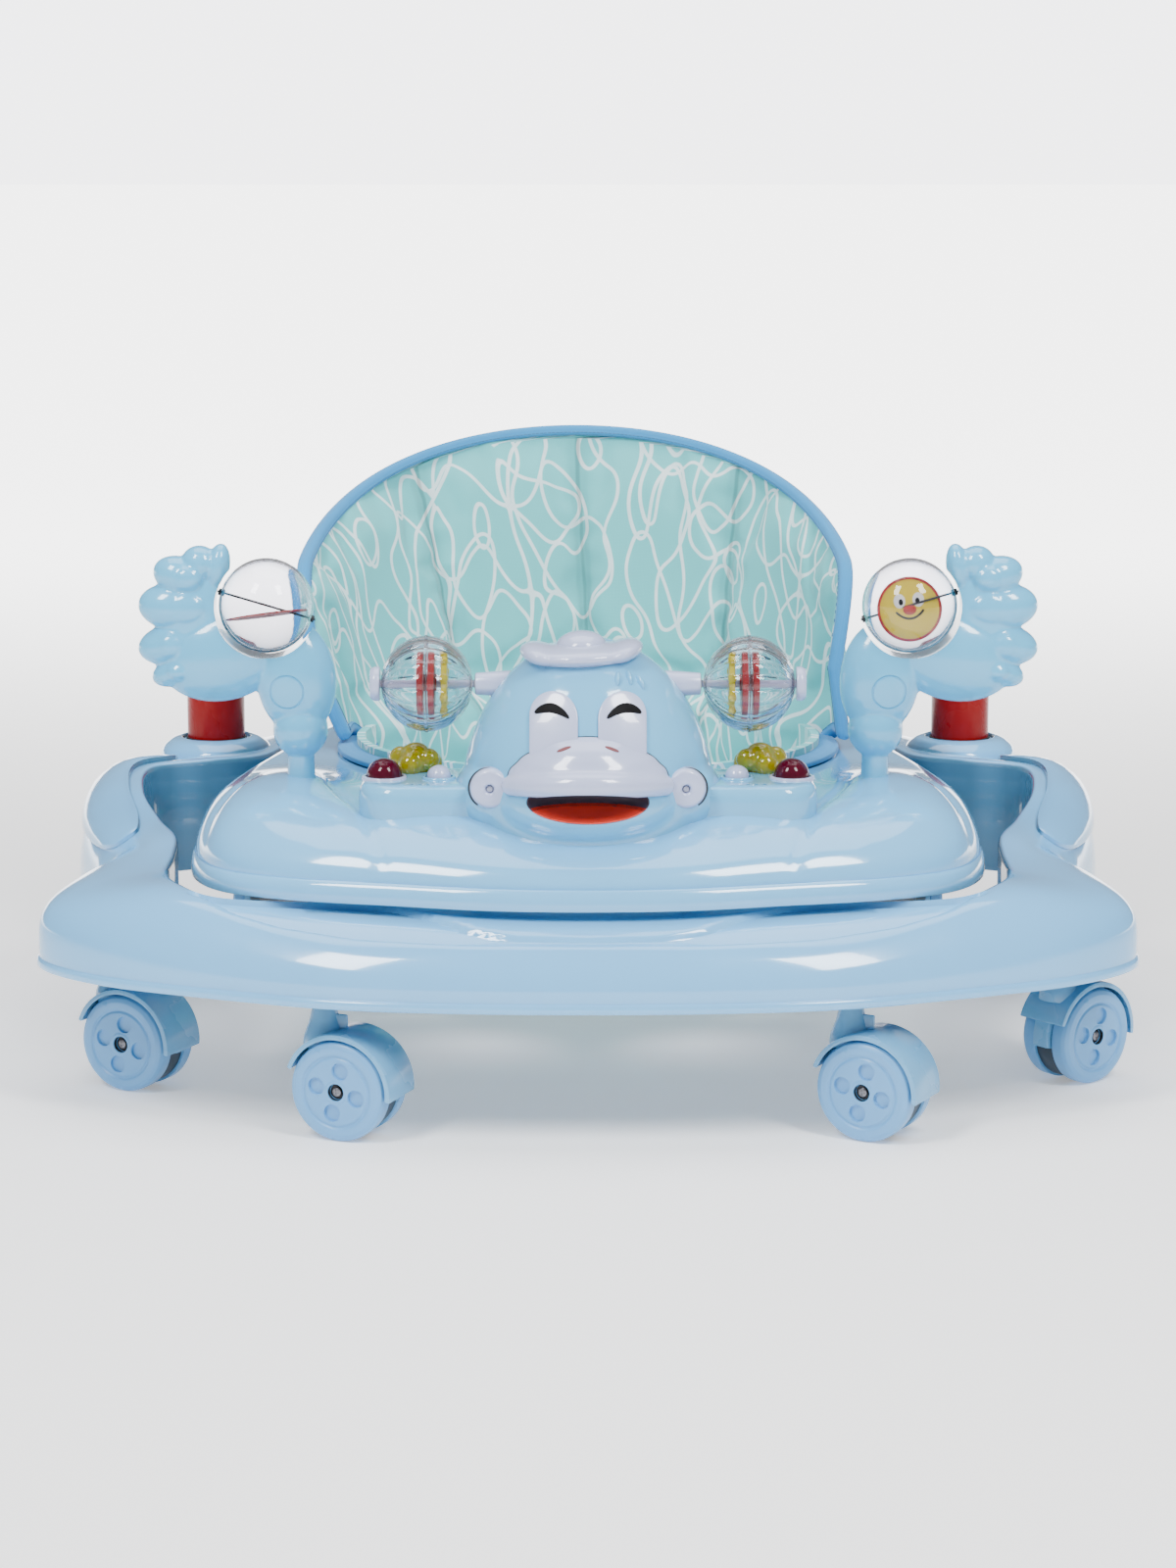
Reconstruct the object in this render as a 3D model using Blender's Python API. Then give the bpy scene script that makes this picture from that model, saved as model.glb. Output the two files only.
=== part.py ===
"""Folding baby walker with a duck-faced play tray, shown folded flat.

Metres, +Z up.  The origin is on the floor below the middle of the base ring; -Y is the front,
where the duck looks, and +X is the right-hand side for somebody who stands in front and looks
at the duck.
"""
import math

import bmesh
import bpy
from mathutils import Euler, Matrix, Vector

# ---------------------------------------------------------------- driving dimensions
GAP = 0.0003                  # clearance between pieces that touch
RING_WALL = 0.003             # base ring, moulded wall
RING_BOTTOM = 0.085           # height of the ring's lower lip
TRAY_WALL = 0.0025            # play tray, moulded wall
TRAY_BOTTOM = 0.1405          # height of the tray's lower lip when folded
DECK_TOP = 0.186              # height of the tray's deck when folded
SEAT_CENTRE_Y = 0.020         # middle of the oval seat opening
SEAT_HALF_X = 0.165
SEAT_HALF_Y = 0.148
WHEEL_R = 0.031
WHEEL_HALF_WIDTH = 0.019      # half of the twin wheel's overall width
WHEEL_INNER = 0.0075          # half of the gap between the two discs
TRAIL = 0.016                 # swivel stem to axle
ARM_LENGTH = 0.36             # scissor arm, pivot to pivot
FOLDED_ANGLE = math.radians(5.0)
PIVOT_Y = 0.13                # rear pivots of the scissor frame
BASE_PIVOT_Z = 0.105
ARM_HALF_HEIGHT = 0.007
OUTER_ARM_X = 0.205           # middle plane of the outer arms
INNER_ARM_X = 0.196           # middle plane of the inner arms
ARM_HALF_WIDTH = 0.003
PIN_R = 0.004
SLOT_HALF = 0.0047            # half height of the slots in which the front bars run
SLOT_BACK, SLOT_FRONT = 0.0055, 0.064   # reach of a slot before and behind the folded bar
STEM_TOP = 0.110              # top of a caster's swivel stem
STEM_R = 0.0055
BOSS_R = 0.0115               # boss of the ring round a stem
CROSS_R = 0.003               # cross rivets of the scissor frame
HEAD_CENTRE = Vector((0.0, -0.200, 0.190))
HEAD_RADII = Vector((0.079, 0.066, 0.104))
MOUTH_CENTRE = Vector((0.0, -0.276, 0.203))
MOUTH_RADII = Vector((0.040, 0.030, 0.0125))
RATTLE_AXIS = Vector((0.0, -0.195, 0.264))
RATTLE_X = 0.100              # middle of each rattle ball
RATTLE_R = 0.0285
RATTLE_WALL = 0.002
BALL_R = 0.030
BALL_WALL = 0.0018
BALL_CENTRE = Vector((0.203, -0.150, 0.307))
BALL_TILT = math.radians(16.5)  # slope of the ball's pin, down towards the duck
CARD_HALF = 0.001             # half of the card's thickness
POST_X, POST_Y, POST_R = 0.268, 0.150, 0.0205
CONSOLE_TOP = 0.206
BUTTON_TRAVEL = 0.0035        # free depth below each push button
BACK_HALF_ANGLE = math.radians(93)
BACK_BOTTOM = 0.1960
BACK_LEAN, SIDE_LEAN = 0.30, 0.15   # outward flare per height, at the rear and at the sides
BACK_THICK = 0.010
PAN_WALL = 0.006

TRAY_PIVOT_Z = BASE_PIVOT_Z + ARM_LENGTH * math.sin(FOLDED_ANGLE)
FRONT_Y = PIVOT_Y - ARM_LENGTH * math.cos(FOLDED_ANGLE)

# Right half of the base ring from front to rear: outer x, outer y, inner x, inner y,
# crown height, and how square its shoulder is (lower is squarer).
RING_STATIONS = [
    (0.000, -0.325, 0.000, -0.268, 0.1375, 1.20),
    (0.080, -0.322, 0.080, -0.264, 0.1375, 1.20),
    (0.155, -0.311, 0.150, -0.252, 0.1380, 1.20),
    (0.237, -0.281, 0.222, -0.247, 0.140, 1.20),
    (0.302, -0.249, 0.252, -0.220, 0.143, 0.80),
    (0.343, -0.205, 0.266, -0.170, 0.141, 0.58),
    (0.341, -0.155, 0.267, -0.125, 0.143, 0.62),
    (0.320, -0.105, 0.270, -0.085, 0.147, 0.80),
    (0.331, -0.060, 0.284, -0.050, 0.151, 0.85),
    (0.347, 0.000, 0.300, -0.010, 0.163, 0.75),
    (0.349, 0.060, 0.300, 0.045, 0.169, 0.75),
    (0.340, 0.125, 0.260, 0.074, 0.169, 0.80),
    (0.318, 0.190, 0.228, 0.112, 0.166, 0.80),
    (0.280, 0.250, 0.208, 0.194, 0.165, 0.90),
    (0.215, 0.295, 0.168, 0.236, 0.163, 0.90),
    (0.110, 0.318, 0.090, 0.262, 0.162, 0.90),
    (0.000, 0.325, 0.000, 0.270, 0.162, 0.90),
]
# Right half of the tray's lip from front to rear: x, y, and the width of its rising shoulder.
TRAY_STATIONS = [
    (0.000, -0.295, 0.100),
    (0.060, -0.291, 0.100),
    (0.118, -0.277, 0.095),
    (0.179, -0.261, 0.070),
    (0.225, -0.236, 0.050),
    (0.247, -0.195, 0.050),
    (0.252, -0.140, 0.050),
    (0.246, -0.080, 0.045),
    (0.236, -0.020, 0.040),
    (0.226, 0.050, 0.036),
    (0.214, 0.115, 0.034),
    (0.188, 0.172, 0.032),
    (0.142, 0.208, 0.032),
    (0.073, 0.228, 0.032),
    (0.000, 0.234, 0.032),
]
# Swellings of the deck, mirrored in X: x, y, half width, half depth, height.
DECK_SWELLS = [
    (0.192, -0.150, 0.040, 0.060, 0.0095),
    (0.098, -0.232, 0.048, 0.042, 0.0090),
]
# Casters: name, stem x, stem y, direction in which the wheel trails, in degrees from +X.
CASTERS = [
    ("front_left", -0.160, -0.278, -22.0),
    ("front_right", 0.160, -0.278, -29.0),
    ("side_left", -0.302, -0.163, -28.0),
    ("side_right", 0.302, -0.163, 40.0),
    ("rear_left", -0.245, 0.238, 65.0),
    ("rear_right", 0.245, 0.238, 110.0),
]
SIDES = [("left", -1.0), ("right", 1.0)]


# ---------------------------------------------------------------- scene and materials
def clear_scene():
    for obj in list(bpy.data.objects):
        bpy.data.objects.remove(obj, do_unlink=True)


def plastic(name, colour, roughness=0.25, alpha=1.0):
    """One Principled material; colour is linear RGB."""
    mat = bpy.data.materials.new(name)
    mat.use_nodes = True
    shader = mat.node_tree.nodes["Principled BSDF"]
    shader.inputs["Base Color"].default_value = (*colour, 1.0)
    shader.inputs["Roughness"].default_value = roughness
    shader.inputs["Metallic"].default_value = 0.0
    shader.inputs["Alpha"].default_value = alpha
    mat.diffuse_color = (*colour, alpha)
    return mat


def metal(name, colour, roughness=0.3):
    mat = plastic(name, colour, roughness)
    mat.node_tree.nodes["Principled BSDF"].inputs["Metallic"].default_value = 1.0
    return mat


BABY_BLUE = (0.40, 0.58, 0.71)
PALE_BLUE = (0.38, 0.62, 0.73)
LAVENDER = (0.60, 0.62, 0.72)
CREAM = (0.74, 0.68, 0.62)
RED = (0.42, 0.015, 0.012)
MOUTH_RED = (0.68, 0.04, 0.01)
MAROON = (0.20, 0.008, 0.04)
OLIVE = (0.28, 0.26, 0.01)
AQUA = (0.35, 0.63, 0.63)
WHEEL_BLUE = (0.28, 0.43, 0.60)
CLEAR = (0.85, 0.87, 0.92)


# ---------------------------------------------------------------- mesh helpers
def new_object(name, bm, mat=None, smooth=True):
    """Turn a bmesh into a linked object with outward normals."""
    bmesh.ops.recalc_face_normals(bm, faces=bm.faces)
    mesh = bpy.data.meshes.new(name)
    bm.to_mesh(mesh)
    bm.free()
    if smooth:
        mesh.shade_smooth()
        mesh.set_sharp_from_angle(angle=math.radians(35))
    obj = bpy.data.objects.new(name, mesh)
    bpy.context.scene.collection.objects.link(obj)
    if mat is not None:
        mesh.materials.append(mat)
    return obj


def smooth_rows(rows, per_segment):
    """Closed Catmull-Rom curve through rows of any length, per_segment samples each."""
    count = len(rows)
    result = []
    for i in range(count):
        p0, p1, p2, p3 = (rows[(i + k) % count] for k in (-1, 0, 1, 2))
        for j in range(per_segment):
            t = j / per_segment
            result.append(tuple(
                0.5 * (2 * b + (c - a) * t + (2 * a - 5 * b + 4 * c - d) * t * t
                       + (3 * b - a - 3 * c + d) * t ** 3)
                for a, b, c, d in zip(p0, p1, p2, p3)))
    return result


def mirrored_loop(half, x_columns):
    """Close a right-hand half into a full loop by mirroring the given x columns."""
    mirrored = [tuple(-v if k in x_columns else v for k, v in enumerate(row))
                for row in reversed(half[1:-1])]
    return list(half) + mirrored


def loft_closed(name, sections, mat=None):
    """Torus-like skin through closed sections that run round a closed path."""
    bm = bmesh.new()
    rings = [[bm.verts.new(p) for p in section] for section in sections]
    count = len(sections[0])
    for i, ring in enumerate(rings):
        following = rings[(i + 1) % len(rings)]
        for j in range(count):
            k = (j + 1) % count
            bm.faces.new((ring[j], ring[k], following[k]))
            bm.faces.new((ring[j], following[k], following[j]))
    return new_object(name, bm, mat)


def loft_capped(name, rings, mat=None):
    """Skin through closed rings, with a flat cap on the first and the last one."""
    bm = bmesh.new()
    loops = [[bm.verts.new(p) for p in ring] for ring in rings]
    count = len(rings[0])
    for a, b in zip(loops, loops[1:]):
        for j in range(count):
            k = (j + 1) % count
            bm.faces.new((a[j], a[k], b[k], b[j]))
    bm.faces.new(loops[0])
    bm.faces.new(loops[-1])
    return new_object(name, bm, mat)


def lathe(name, profile, matrix, mat=None, segments=24, closed=False):
    """Turn (radius, height) points round local Z.  An open profile starts and ends at radius 0."""
    bm = bmesh.new()
    loops = []
    for radius, height in profile:
        if radius == 0.0:
            loops.append([bm.verts.new((0.0, 0.0, height))])
        else:
            loops.append([bm.verts.new((radius * math.cos(2 * math.pi * s / segments),
                                        radius * math.sin(2 * math.pi * s / segments), height))
                          for s in range(segments)])
    pairs = list(zip(loops, loops[1:]))
    if closed:
        pairs.append((loops[-1], loops[0]))
    for a, b in pairs:
        for s in range(segments):
            t = (s + 1) % segments
            corners = [a[s % len(a)], a[t % len(a)], b[t % len(b)], b[s % len(b)]]
            unique = list(dict.fromkeys(corners))
            bm.faces.new(unique)
    bm.transform(matrix)
    return new_object(name, bm, mat)


def ball(name, centre, radii, mat=None, segments=16, rings=10, turn=0.0):
    """Ellipsoid; turn rotates it about Y."""
    bm = bmesh.new()
    bmesh.ops.create_uvsphere(bm, u_segments=segments, v_segments=rings, radius=1.0)
    place = (Matrix.Translation(centre) @ Matrix.Rotation(turn, 4, "Y")
             @ Matrix.Diagonal((*radii, 1.0)))
    bm.transform(place)
    return new_object(name, bm, mat)


def box(name, low, high, mat=None):
    bm = bmesh.new()
    bmesh.ops.create_cube(bm, size=1.0)
    low, high = Vector(low), Vector(high)
    size = high - low
    bm.transform(Matrix.Translation((low + high) / 2) @ Matrix.Diagonal((*size, 1.0)))
    return new_object(name, bm, mat, smooth=False)


def side_box(name, sign, low, high, mat=None):
    """Box on the +X side, or its mirror image when sign is -1."""
    xs = sorted((sign * low[0], sign * high[0]))
    return box(name, (xs[0], *low[1:]), (xs[1], *high[1:]), mat)


def rod(name, start, end, radius, mat=None, segments=16):
    """Round bar between two points."""
    start, end = Vector(start), Vector(end)
    span = end - start
    turn = Vector((0, 0, 1)).rotation_difference(span.normalized()).to_matrix().to_4x4()
    profile = [(0.0, 0.0), (radius, 0.0), (radius, span.length), (0.0, span.length)]
    return lathe(name, profile, Matrix.Translation(start) @ turn, mat, segments)


def plate(name, outline, low, high, mat=None):
    """Extrude an outline of (y, z) points along X from low to high."""
    return loft_capped(name, [[(x, y, z) for y, z in outline] for x in (low, high)], mat)


def as_tool(obj):
    obj.hide_render = True
    obj.display_type = "WIRE"
    return obj


def combine(obj, tools, operation):
    """Add one exact Boolean modifier for each tool."""
    for tool in tools:
        modifier = obj.modifiers.new(operation.lower(), "BOOLEAN")
        modifier.operation = operation
        modifier.solver = "EXACT"
        modifier.object = as_tool(tool)
    return obj


def fuse(obj, *tools):
    return combine(obj, tools, "UNION")


def carve(obj, *tools):
    return combine(obj, tools, "DIFFERENCE")


def keep_inside(obj, *tools):
    return combine(obj, tools, "INTERSECT")


def joint_point(name, point, yaw=0.0):
    """Empty that stands on a joint's axis."""
    empty = bpy.data.objects.new(name, None)
    empty.empty_display_size = 0.02
    empty.location = point
    empty.rotation_euler = Euler((0.0, 0.0, yaw))
    bpy.context.scene.collection.objects.link(empty)
    return empty


def hang_on(empty, *objects):
    """Parent pieces that are modelled in place to their joint's empty."""
    for obj in objects:
        obj.parent = empty
        obj.location = -empty.location
    return empty


def arc(centre_a, centre_b, radius, start, end, steps):
    """Points (a, b) on an arc, angles in degrees."""
    points = []
    for i in range(steps + 1):
        angle = math.radians(start + (end - start) * i / steps)
        points.append((centre_a + radius * math.cos(angle), centre_b + radius * math.sin(angle)))
    return points


# ---------------------------------------------------------------- base ring
def ring_rows(per_segment=2):
    return smooth_rows(mirrored_loop(RING_STATIONS, (0, 2)), per_segment)


def ring_crown(width, crown, squareness, grow=0.0, steps=(24, 50, 74)):
    """Outer skin of one ring section as (inset, height), from the lower lip to the inner rim."""
    shoulder = RING_BOTTOM + 0.013
    points = [(-grow, RING_BOTTOM), (-grow, shoulder)]
    for degrees in steps:
        a = math.radians(degrees)
        inset = (width - 0.004) * (1 - math.cos(a))
        lift = (crown - shoulder) * math.sin(a) ** squareness
        points.append((inset - grow * math.cos(a), shoulder + lift + grow * math.sin(a)))
    points.append((width - 0.004, crown + grow))
    points.append((width + grow, crown - 0.004))
    points.append((width + grow, RING_BOTTOM + 0.007))
    return points


def ring_section(row, skin):
    ox, oy, ix, iy = row[:4]
    width = math.hypot(ix - ox, iy - oy)
    ux, uy = (ix - ox) / width, (iy - oy) / width
    return [(ox + ux * inset, oy + uy * inset, z) for inset, z in skin(width, row[4], row[5])]


def ring_shell_skin(width, crown, squareness):
    outer = ring_crown(width, crown, squareness)
    inner = ring_crown(width, crown, squareness, -RING_WALL, (50,))
    return outer + inner[::-1]


def ring_solid_skin(width, crown, squareness):
    return ring_crown(width, crown, squareness, GAP)


def ring_height(x, y):
    """Height of the ring's outer skin above a point, from its nearest station."""
    best = None
    for row in ring_rows(6):
        ox, oy, ix, iy = row[:4]
        width = math.hypot(ix - ox, iy - oy)
        ux, uy = (ix - ox) / width, (iy - oy) / width
        inset = (x - ox) * ux + (y - oy) * uy
        miss = abs((x - ox) * -uy + (y - oy) * ux)
        if 0.0 <= inset <= width and (best is None or miss < best[0]):
            skin = ring_crown(width, row[4], row[5])
            for (d0, z0), (d1, z1) in zip(skin[1:], skin[2:]):
                if d0 <= inset <= d1 and d1 > d0:
                    best = (miss, z0 + (z1 - z0) * (inset - d0) / (d1 - d0))
                    break
    return best[1]


def base_ring(mat):
    ring = loft_closed("base_ring", [ring_section(row, ring_shell_skin) for row in ring_rows()], mat)
    for name, x, y, _ in CASTERS:
        top = min(ring_height(x + dx, y + dy)
                  for dx, dy in ((BOSS_R, 0), (-BOSS_R, 0), (0, BOSS_R), (0, -BOSS_R))) - 0.0015
        boss = rod("boss_" + name, (x, y, RING_BOTTOM + 0.004), (x, y, top), BOSS_R, segments=12)
        bore = rod("bore_" + name, (x, y, RING_BOTTOM), (x, y, STEM_TOP + 0.0015), STEM_R + GAP,
                   segments=12)
        fuse(ring, boss)
        carve(ring, bore)
    return ring


def ring_tool():
    """Solid ring, larger than the real one by the clearance, for trimming what sits on it."""
    return as_tool(loft_closed("ring_tool",
                               [ring_section(row, ring_solid_skin) for row in ring_rows()]))


def side_pad(side, sign, mat):
    """Raised domed pad that clips on the ring's side shoulder."""
    rows = smooth_rows(mirrored_loop(RING_STATIONS, (0, 2)), 6)
    first, last, steps_u, steps_v = 45, 66, 9, 5

    def skin_point(u, v, lift):
        row = rows[u]
        ox, oy, ix, iy = row[:4]
        width = math.hypot(ix - ox, iy - oy)
        ux, uy = (ix - ox) / width, (iy - oy) / width
        a = math.radians(v)
        shoulder = RING_BOTTOM + 0.013
        inset = (width - 0.004) * (1 - math.cos(a)) - lift * math.cos(a)
        height = shoulder + (row[4] - shoulder) * math.sin(a) ** row[5] + lift * math.sin(a)
        return Vector((sign * (ox + ux * inset), oy + uy * inset, height))

    def layer(base, dome):
        grid = []
        for i in range(steps_u + 1):
            s = i / steps_u
            u = round(first + (last - first) * s)
            narrow = 16.0 * (2 * s - 1) ** 2
            line = []
            for j in range(steps_v + 1):
                t = j / steps_v
                v = (34 + narrow) + ((82 - narrow * 0.3) - (34 + narrow)) * t
                swell = (math.sin(math.pi * s) * math.sin(math.pi * t)) ** 0.5
                line.append(skin_point(u, v, base + dome * swell))
            grid.append(line)
        return grid

    bm = bmesh.new()
    lower = [[bm.verts.new(p) for p in line] for line in layer(0.0016, 0.0)]
    upper = [[bm.verts.new(p) for p in line] for line in layer(0.0034, 0.0040)]
    for i in range(steps_u):
        for j in range(steps_v):
            for grid in (lower, upper):
                bm.faces.new((grid[i][j], grid[i + 1][j], grid[i + 1][j + 1], grid[i][j + 1]))
    rim = ([(i, 0) for i in range(steps_u)] + [(steps_u, j) for j in range(steps_v)]
           + [(i, steps_v) for i in range(steps_u, 0, -1)] + [(0, j) for j in range(steps_v, 0, -1)])
    for (i, j), (k, m) in zip(rim, rim[1:] + rim[:1]):
        bm.faces.new((lower[i][j], lower[k][m], upper[k][m], upper[i][j]))
    return new_object("side_pad_" + side, bm, mat)


def handle_socket(side, sign, ring_trim, blue, red):
    """Rounded block on the ring's rear shoulder, and the red sleeve that stands in it."""
    place = Matrix.Translation((sign * POST_X, POST_Y, 0.0))
    profile = [(0.0, 0.140), (0.040, 0.140), (0.040, 0.160), (0.0375, 0.166), (0.031, 0.1715),
               (0.024, 0.173), (0.0235, 0.170), (0.0, 0.170)]
    carve(lathe("socket_block_" + side, profile, place, blue), ring_trim)
    lathe("red_post_" + side,
          [(0.0, 0.1703), (POST_R, 0.1703), (POST_R, 0.216), (POST_R - 0.004, 0.216),
           (POST_R - 0.004, 0.176), (0.0, 0.176)], place, red)


# ---------------------------------------------------------------- casters
def caster_fork_mesh(mat):
    """Fork about the axle: local X rolls backwards from the stem, local Y is the axle."""
    hood_r, hood_in, half = 0.0352, 0.0330, 0.0180
    web = arc(0.0, 0.0, 0.0338, -8, 188, 9) + [(-0.012, -0.010), (0.012, -0.010)]
    fork = plate("fork_pattern", web, -0.0062, 0.0062, mat)
    hood = plate("hood", arc(0, 0, hood_r, 20, 186, 8) + arc(0, 0, hood_in, 186, 20, 8),
                 -half, half)
    gusset = lathe("gusset", [(0.0, 0.026), (0.0125, 0.026), (0.0085, 0.042), (0.0070, 0.0495),
                              (STEM_R, 0.0500), (STEM_R, STEM_TOP - WHEEL_R),
                              (0.0, STEM_TOP - WHEEL_R)], Matrix.Translation((0, TRAIL, 0)),
                   segments=8)
    bore = rod("axle_bore", (-0.03, 0, 0), (0.03, 0, 0), 0.0033)
    clear = [rod("disc_clearance_%d" % k, (sign * 0.0070, 0, 0), (sign * 0.03, 0, 0),
                 WHEEL_R + 0.0014, segments=16) for k, sign in enumerate((-1, 1))]
    fuse(fork, hood, gusset)
    carve(fork, bore, *clear)
    return fork


def wheel_profile():
    half, inner = WHEEL_HALF_WIDTH, WHEEL_INNER
    side = [(0.0, half), (0.0285, half), (WHEEL_R, half - 0.0025), (WHEEL_R, inner), (0.003, inner)]
    return side + [(r, -h) for r, h in reversed(side)]


def caster(name, x, y, trail_degrees, forks, wheels):
    """Twin-wheel caster: the stem is the swivel axis, and the wheel trails behind it."""
    yaw = math.radians(trail_degrees)
    swivel = joint_point("swivel_" + name, Vector((x, y, RING_BOTTOM)), yaw)
    axle_at = Vector((TRAIL, 0.0, WHEEL_R - RING_BOTTOM))
    fork = bpy.data.objects.new("caster_fork_" + name, forks)
    pair = bpy.data.objects.new("caster_wheels_" + name, wheels)
    for obj in (fork, pair):
        bpy.context.scene.collection.objects.link(obj)
        obj.parent = swivel
        obj.location = axle_at
        obj.rotation_euler = Euler((0.0, 0.0, math.radians(90)))
    return swivel


def baked_mesh(obj, name):
    """Mesh of an object with its modifiers applied, so that copies can share it."""
    depsgraph = bpy.context.evaluated_depsgraph_get()
    mesh = bpy.data.meshes.new_from_object(obj.evaluated_get(depsgraph))
    mesh.name = name
    return mesh


def casters(mats):
    fork = caster_fork_mesh(mats["pale_blue"])
    wheel = lathe("wheel_pattern", wheel_profile(), Matrix.Rotation(math.radians(90), 4, "Y"),
                  mats["wheel"], segments=18)
    bpy.context.view_layer.update()
    forks, wheels = baked_mesh(fork, "caster_fork"), baked_mesh(wheel, "caster_wheels")
    as_tool(fork)
    as_tool(wheel)
    for entry in CASTERS:
        caster(*entry, forks, wheels)


# ---------------------------------------------------------------- scissor frame
def arm_outline(start, end):
    """Capsule in the (y, z) plane between two pivots."""
    angle = math.degrees(math.atan2(end[1] - start[1], end[0] - start[0]))
    return (arc(end[0], end[1], ARM_HALF_HEIGHT, angle - 90, angle + 90, 8)
            + arc(start[0], start[1], ARM_HALF_HEIGHT, angle + 90, angle + 270, 8))


def frame_parts(mats):
    base_rear, tray_rear = (PIVOT_Y, BASE_PIVOT_Z), (PIVOT_Y, TRAY_PIVOT_Z)
    base_front, tray_front = (FRONT_Y, BASE_PIVOT_Z), (FRONT_Y, TRAY_PIVOT_Z)
    middle = ((PIVOT_Y + FRONT_Y) / 2, (BASE_PIVOT_Z + TRAY_PIVOT_Z) / 2)

    def arms(name, centre_x, rear, front, rod_x):
        spans = [(s * (centre_x - ARM_HALF_WIDTH), s * (centre_x + ARM_HALF_WIDTH))
                 for s in (-1, 1)]
        body = plate(name, arm_outline(front, rear), *sorted(spans[1]), mats["cream"])
        other = plate(name + "_left_arm", arm_outline(front, rear), *sorted(spans[0]))
        bar = rod(name + "_bar", (-rod_x, *front), (rod_x, *front), PIN_R)
        fuse(body, other, bar)
        holes = rod(name + "_middle_hole", (-0.25, *middle), (0.25, *middle), CROSS_R + GAP)
        return carve(body, holes)

    outer = arms("frame_outer", OUTER_ARM_X, base_rear, tray_front, OUTER_ARM_X)
    carve(outer, rod("outer_rear_hole", (-0.25, *base_rear), (0.25, *base_rear), PIN_R + GAP))
    inner = arms("frame_inner", INNER_ARM_X, tray_rear, base_front, 0.219)
    stubs = [rod("inner_stub_%d" % k, (s * 0.180, *tray_rear), (s * INNER_ARM_X, *tray_rear), PIN_R)
             for k, s in enumerate((-1, 1))]
    fuse(inner, *stubs)

    pivot_a = joint_point("frame_outer_hinge", Vector((0, *base_rear)))
    pivot_b = joint_point("frame_inner_hinge", Vector((0, *middle)))
    hang_on(pivot_a, outer)
    hang_on(pivot_b, inner)
    for side, sign in SIDES:
        turn = Matrix.Translation((0, *middle)) @ Matrix.Rotation(sign * math.radians(90), 4, "Y")
        near, far = INNER_ARM_X - ARM_HALF_WIDTH, OUTER_ARM_X + ARM_HALF_WIDTH
        profile = [(0.0, near - 0.0023), (0.0055, near - 0.0020), (0.0055, near - GAP),
                   (CROSS_R, near - GAP), (CROSS_R, far + GAP), (0.0055, far + GAP),
                   (0.0055, far + 0.0016), (0.0, far + 0.0019)]
        hang_on(pivot_a, lathe("cross_rivet_" + side, profile, turn, mats["steel"], segments=16))


def base_fittings(side, sign, ring_trim, mat):
    """Rear pivot bracket and front guide rail, both fixed to the ring's inner wall."""
    y, z = PIVOT_Y, BASE_PIVOT_Z
    near = OUTER_ARM_X + ARM_HALF_WIDTH + 0.0008
    bracket = side_box("base_bracket_" + side, sign, (near, y - 0.016, z - 0.010),
                       (0.255, y + 0.016, z + 0.012), mat)
    fuse(bracket, rod("bracket_pin_" + side, (sign * (OUTER_ARM_X - 0.0035), y, z),
                      (sign * (near + 0.004), y, z), PIN_R))
    carve(bracket, ring_trim)

    guide = side_box("base_guide_" + side, sign, (0.2105, FRONT_Y - 0.012, z - 0.0085),
                     (0.275, FRONT_Y + 0.072, z + 0.0105), mat)
    slot = side_box("base_slot_" + side, sign, (0.200, FRONT_Y - SLOT_BACK, z - SLOT_HALF),
                    (0.2205, FRONT_Y + SLOT_FRONT, z + SLOT_HALF))
    carve(guide, ring_trim, slot)


# ---------------------------------------------------------------- play tray
def seat_oval(angle, grow=0.0):
    """Point on the seat opening; angle 0 is the front, a quarter turn is +X."""
    return ((SEAT_HALF_X + grow) * math.sin(angle),
            SEAT_CENTRE_Y - (SEAT_HALF_Y + grow) * math.cos(angle))


def mound(x, y):
    """Swelling of the deck under each hand post and in front of each console wing."""
    lift = 0.0
    for sign in (-1.0, 1.0):
        for spot_x, spot_y, half_x, half_y, height in DECK_SWELLS:
            distance = math.hypot((x - sign * spot_x) / half_x, (y - spot_y) / half_y)
            lift += height * math.exp(-distance ** 2)
    return lift


DECK_STEPS = (18, 42, 66, 90)     # shoulder angles of the tray's outer skin
LINING_STEPS = (42, 90)           # and of its coarser underside


def tray_section(row, index, count, grow, steps):
    """Outer skin of one tray section, from the lip over the deck to the seat opening."""
    ox, oy, rise = row
    ix, iy = seat_oval(2 * math.pi * index / count)
    width = math.hypot(ix - ox, iy - oy)
    ux, uy = (ix - ox) / width, (iy - oy) / width
    lip = TRAY_BOTTOM + 0.016
    flat = [(-grow, TRAY_BOTTOM), (-grow, lip - 0.003), (0.003 - grow, lip)]
    for degrees in steps:
        a = math.radians(degrees)
        flat.append((0.003 + rise * (1 - math.cos(a)) - grow * math.cos(a),
                     lip + (DECK_TOP - lip) * math.sin(a) ** 0.95 + grow * math.sin(a)))
    flat += [(width - 0.004, DECK_TOP + grow), (width + grow, DECK_TOP - 0.003),
             (width + grow, DECK_TOP - 0.022)]
    points = []
    for inset, z in flat:
        x, y = ox + ux * inset, oy + uy * inset
        share = max(0.0, (z - lip) / (DECK_TOP - lip)) if inset < width - 0.004 else 0.0
        points.append((x, y, z + mound(x, y) * min(share, 1.0)))
    return points


def tray_rows():
    return smooth_rows(mirrored_loop(TRAY_STATIONS, (0,)), 2)


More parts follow.
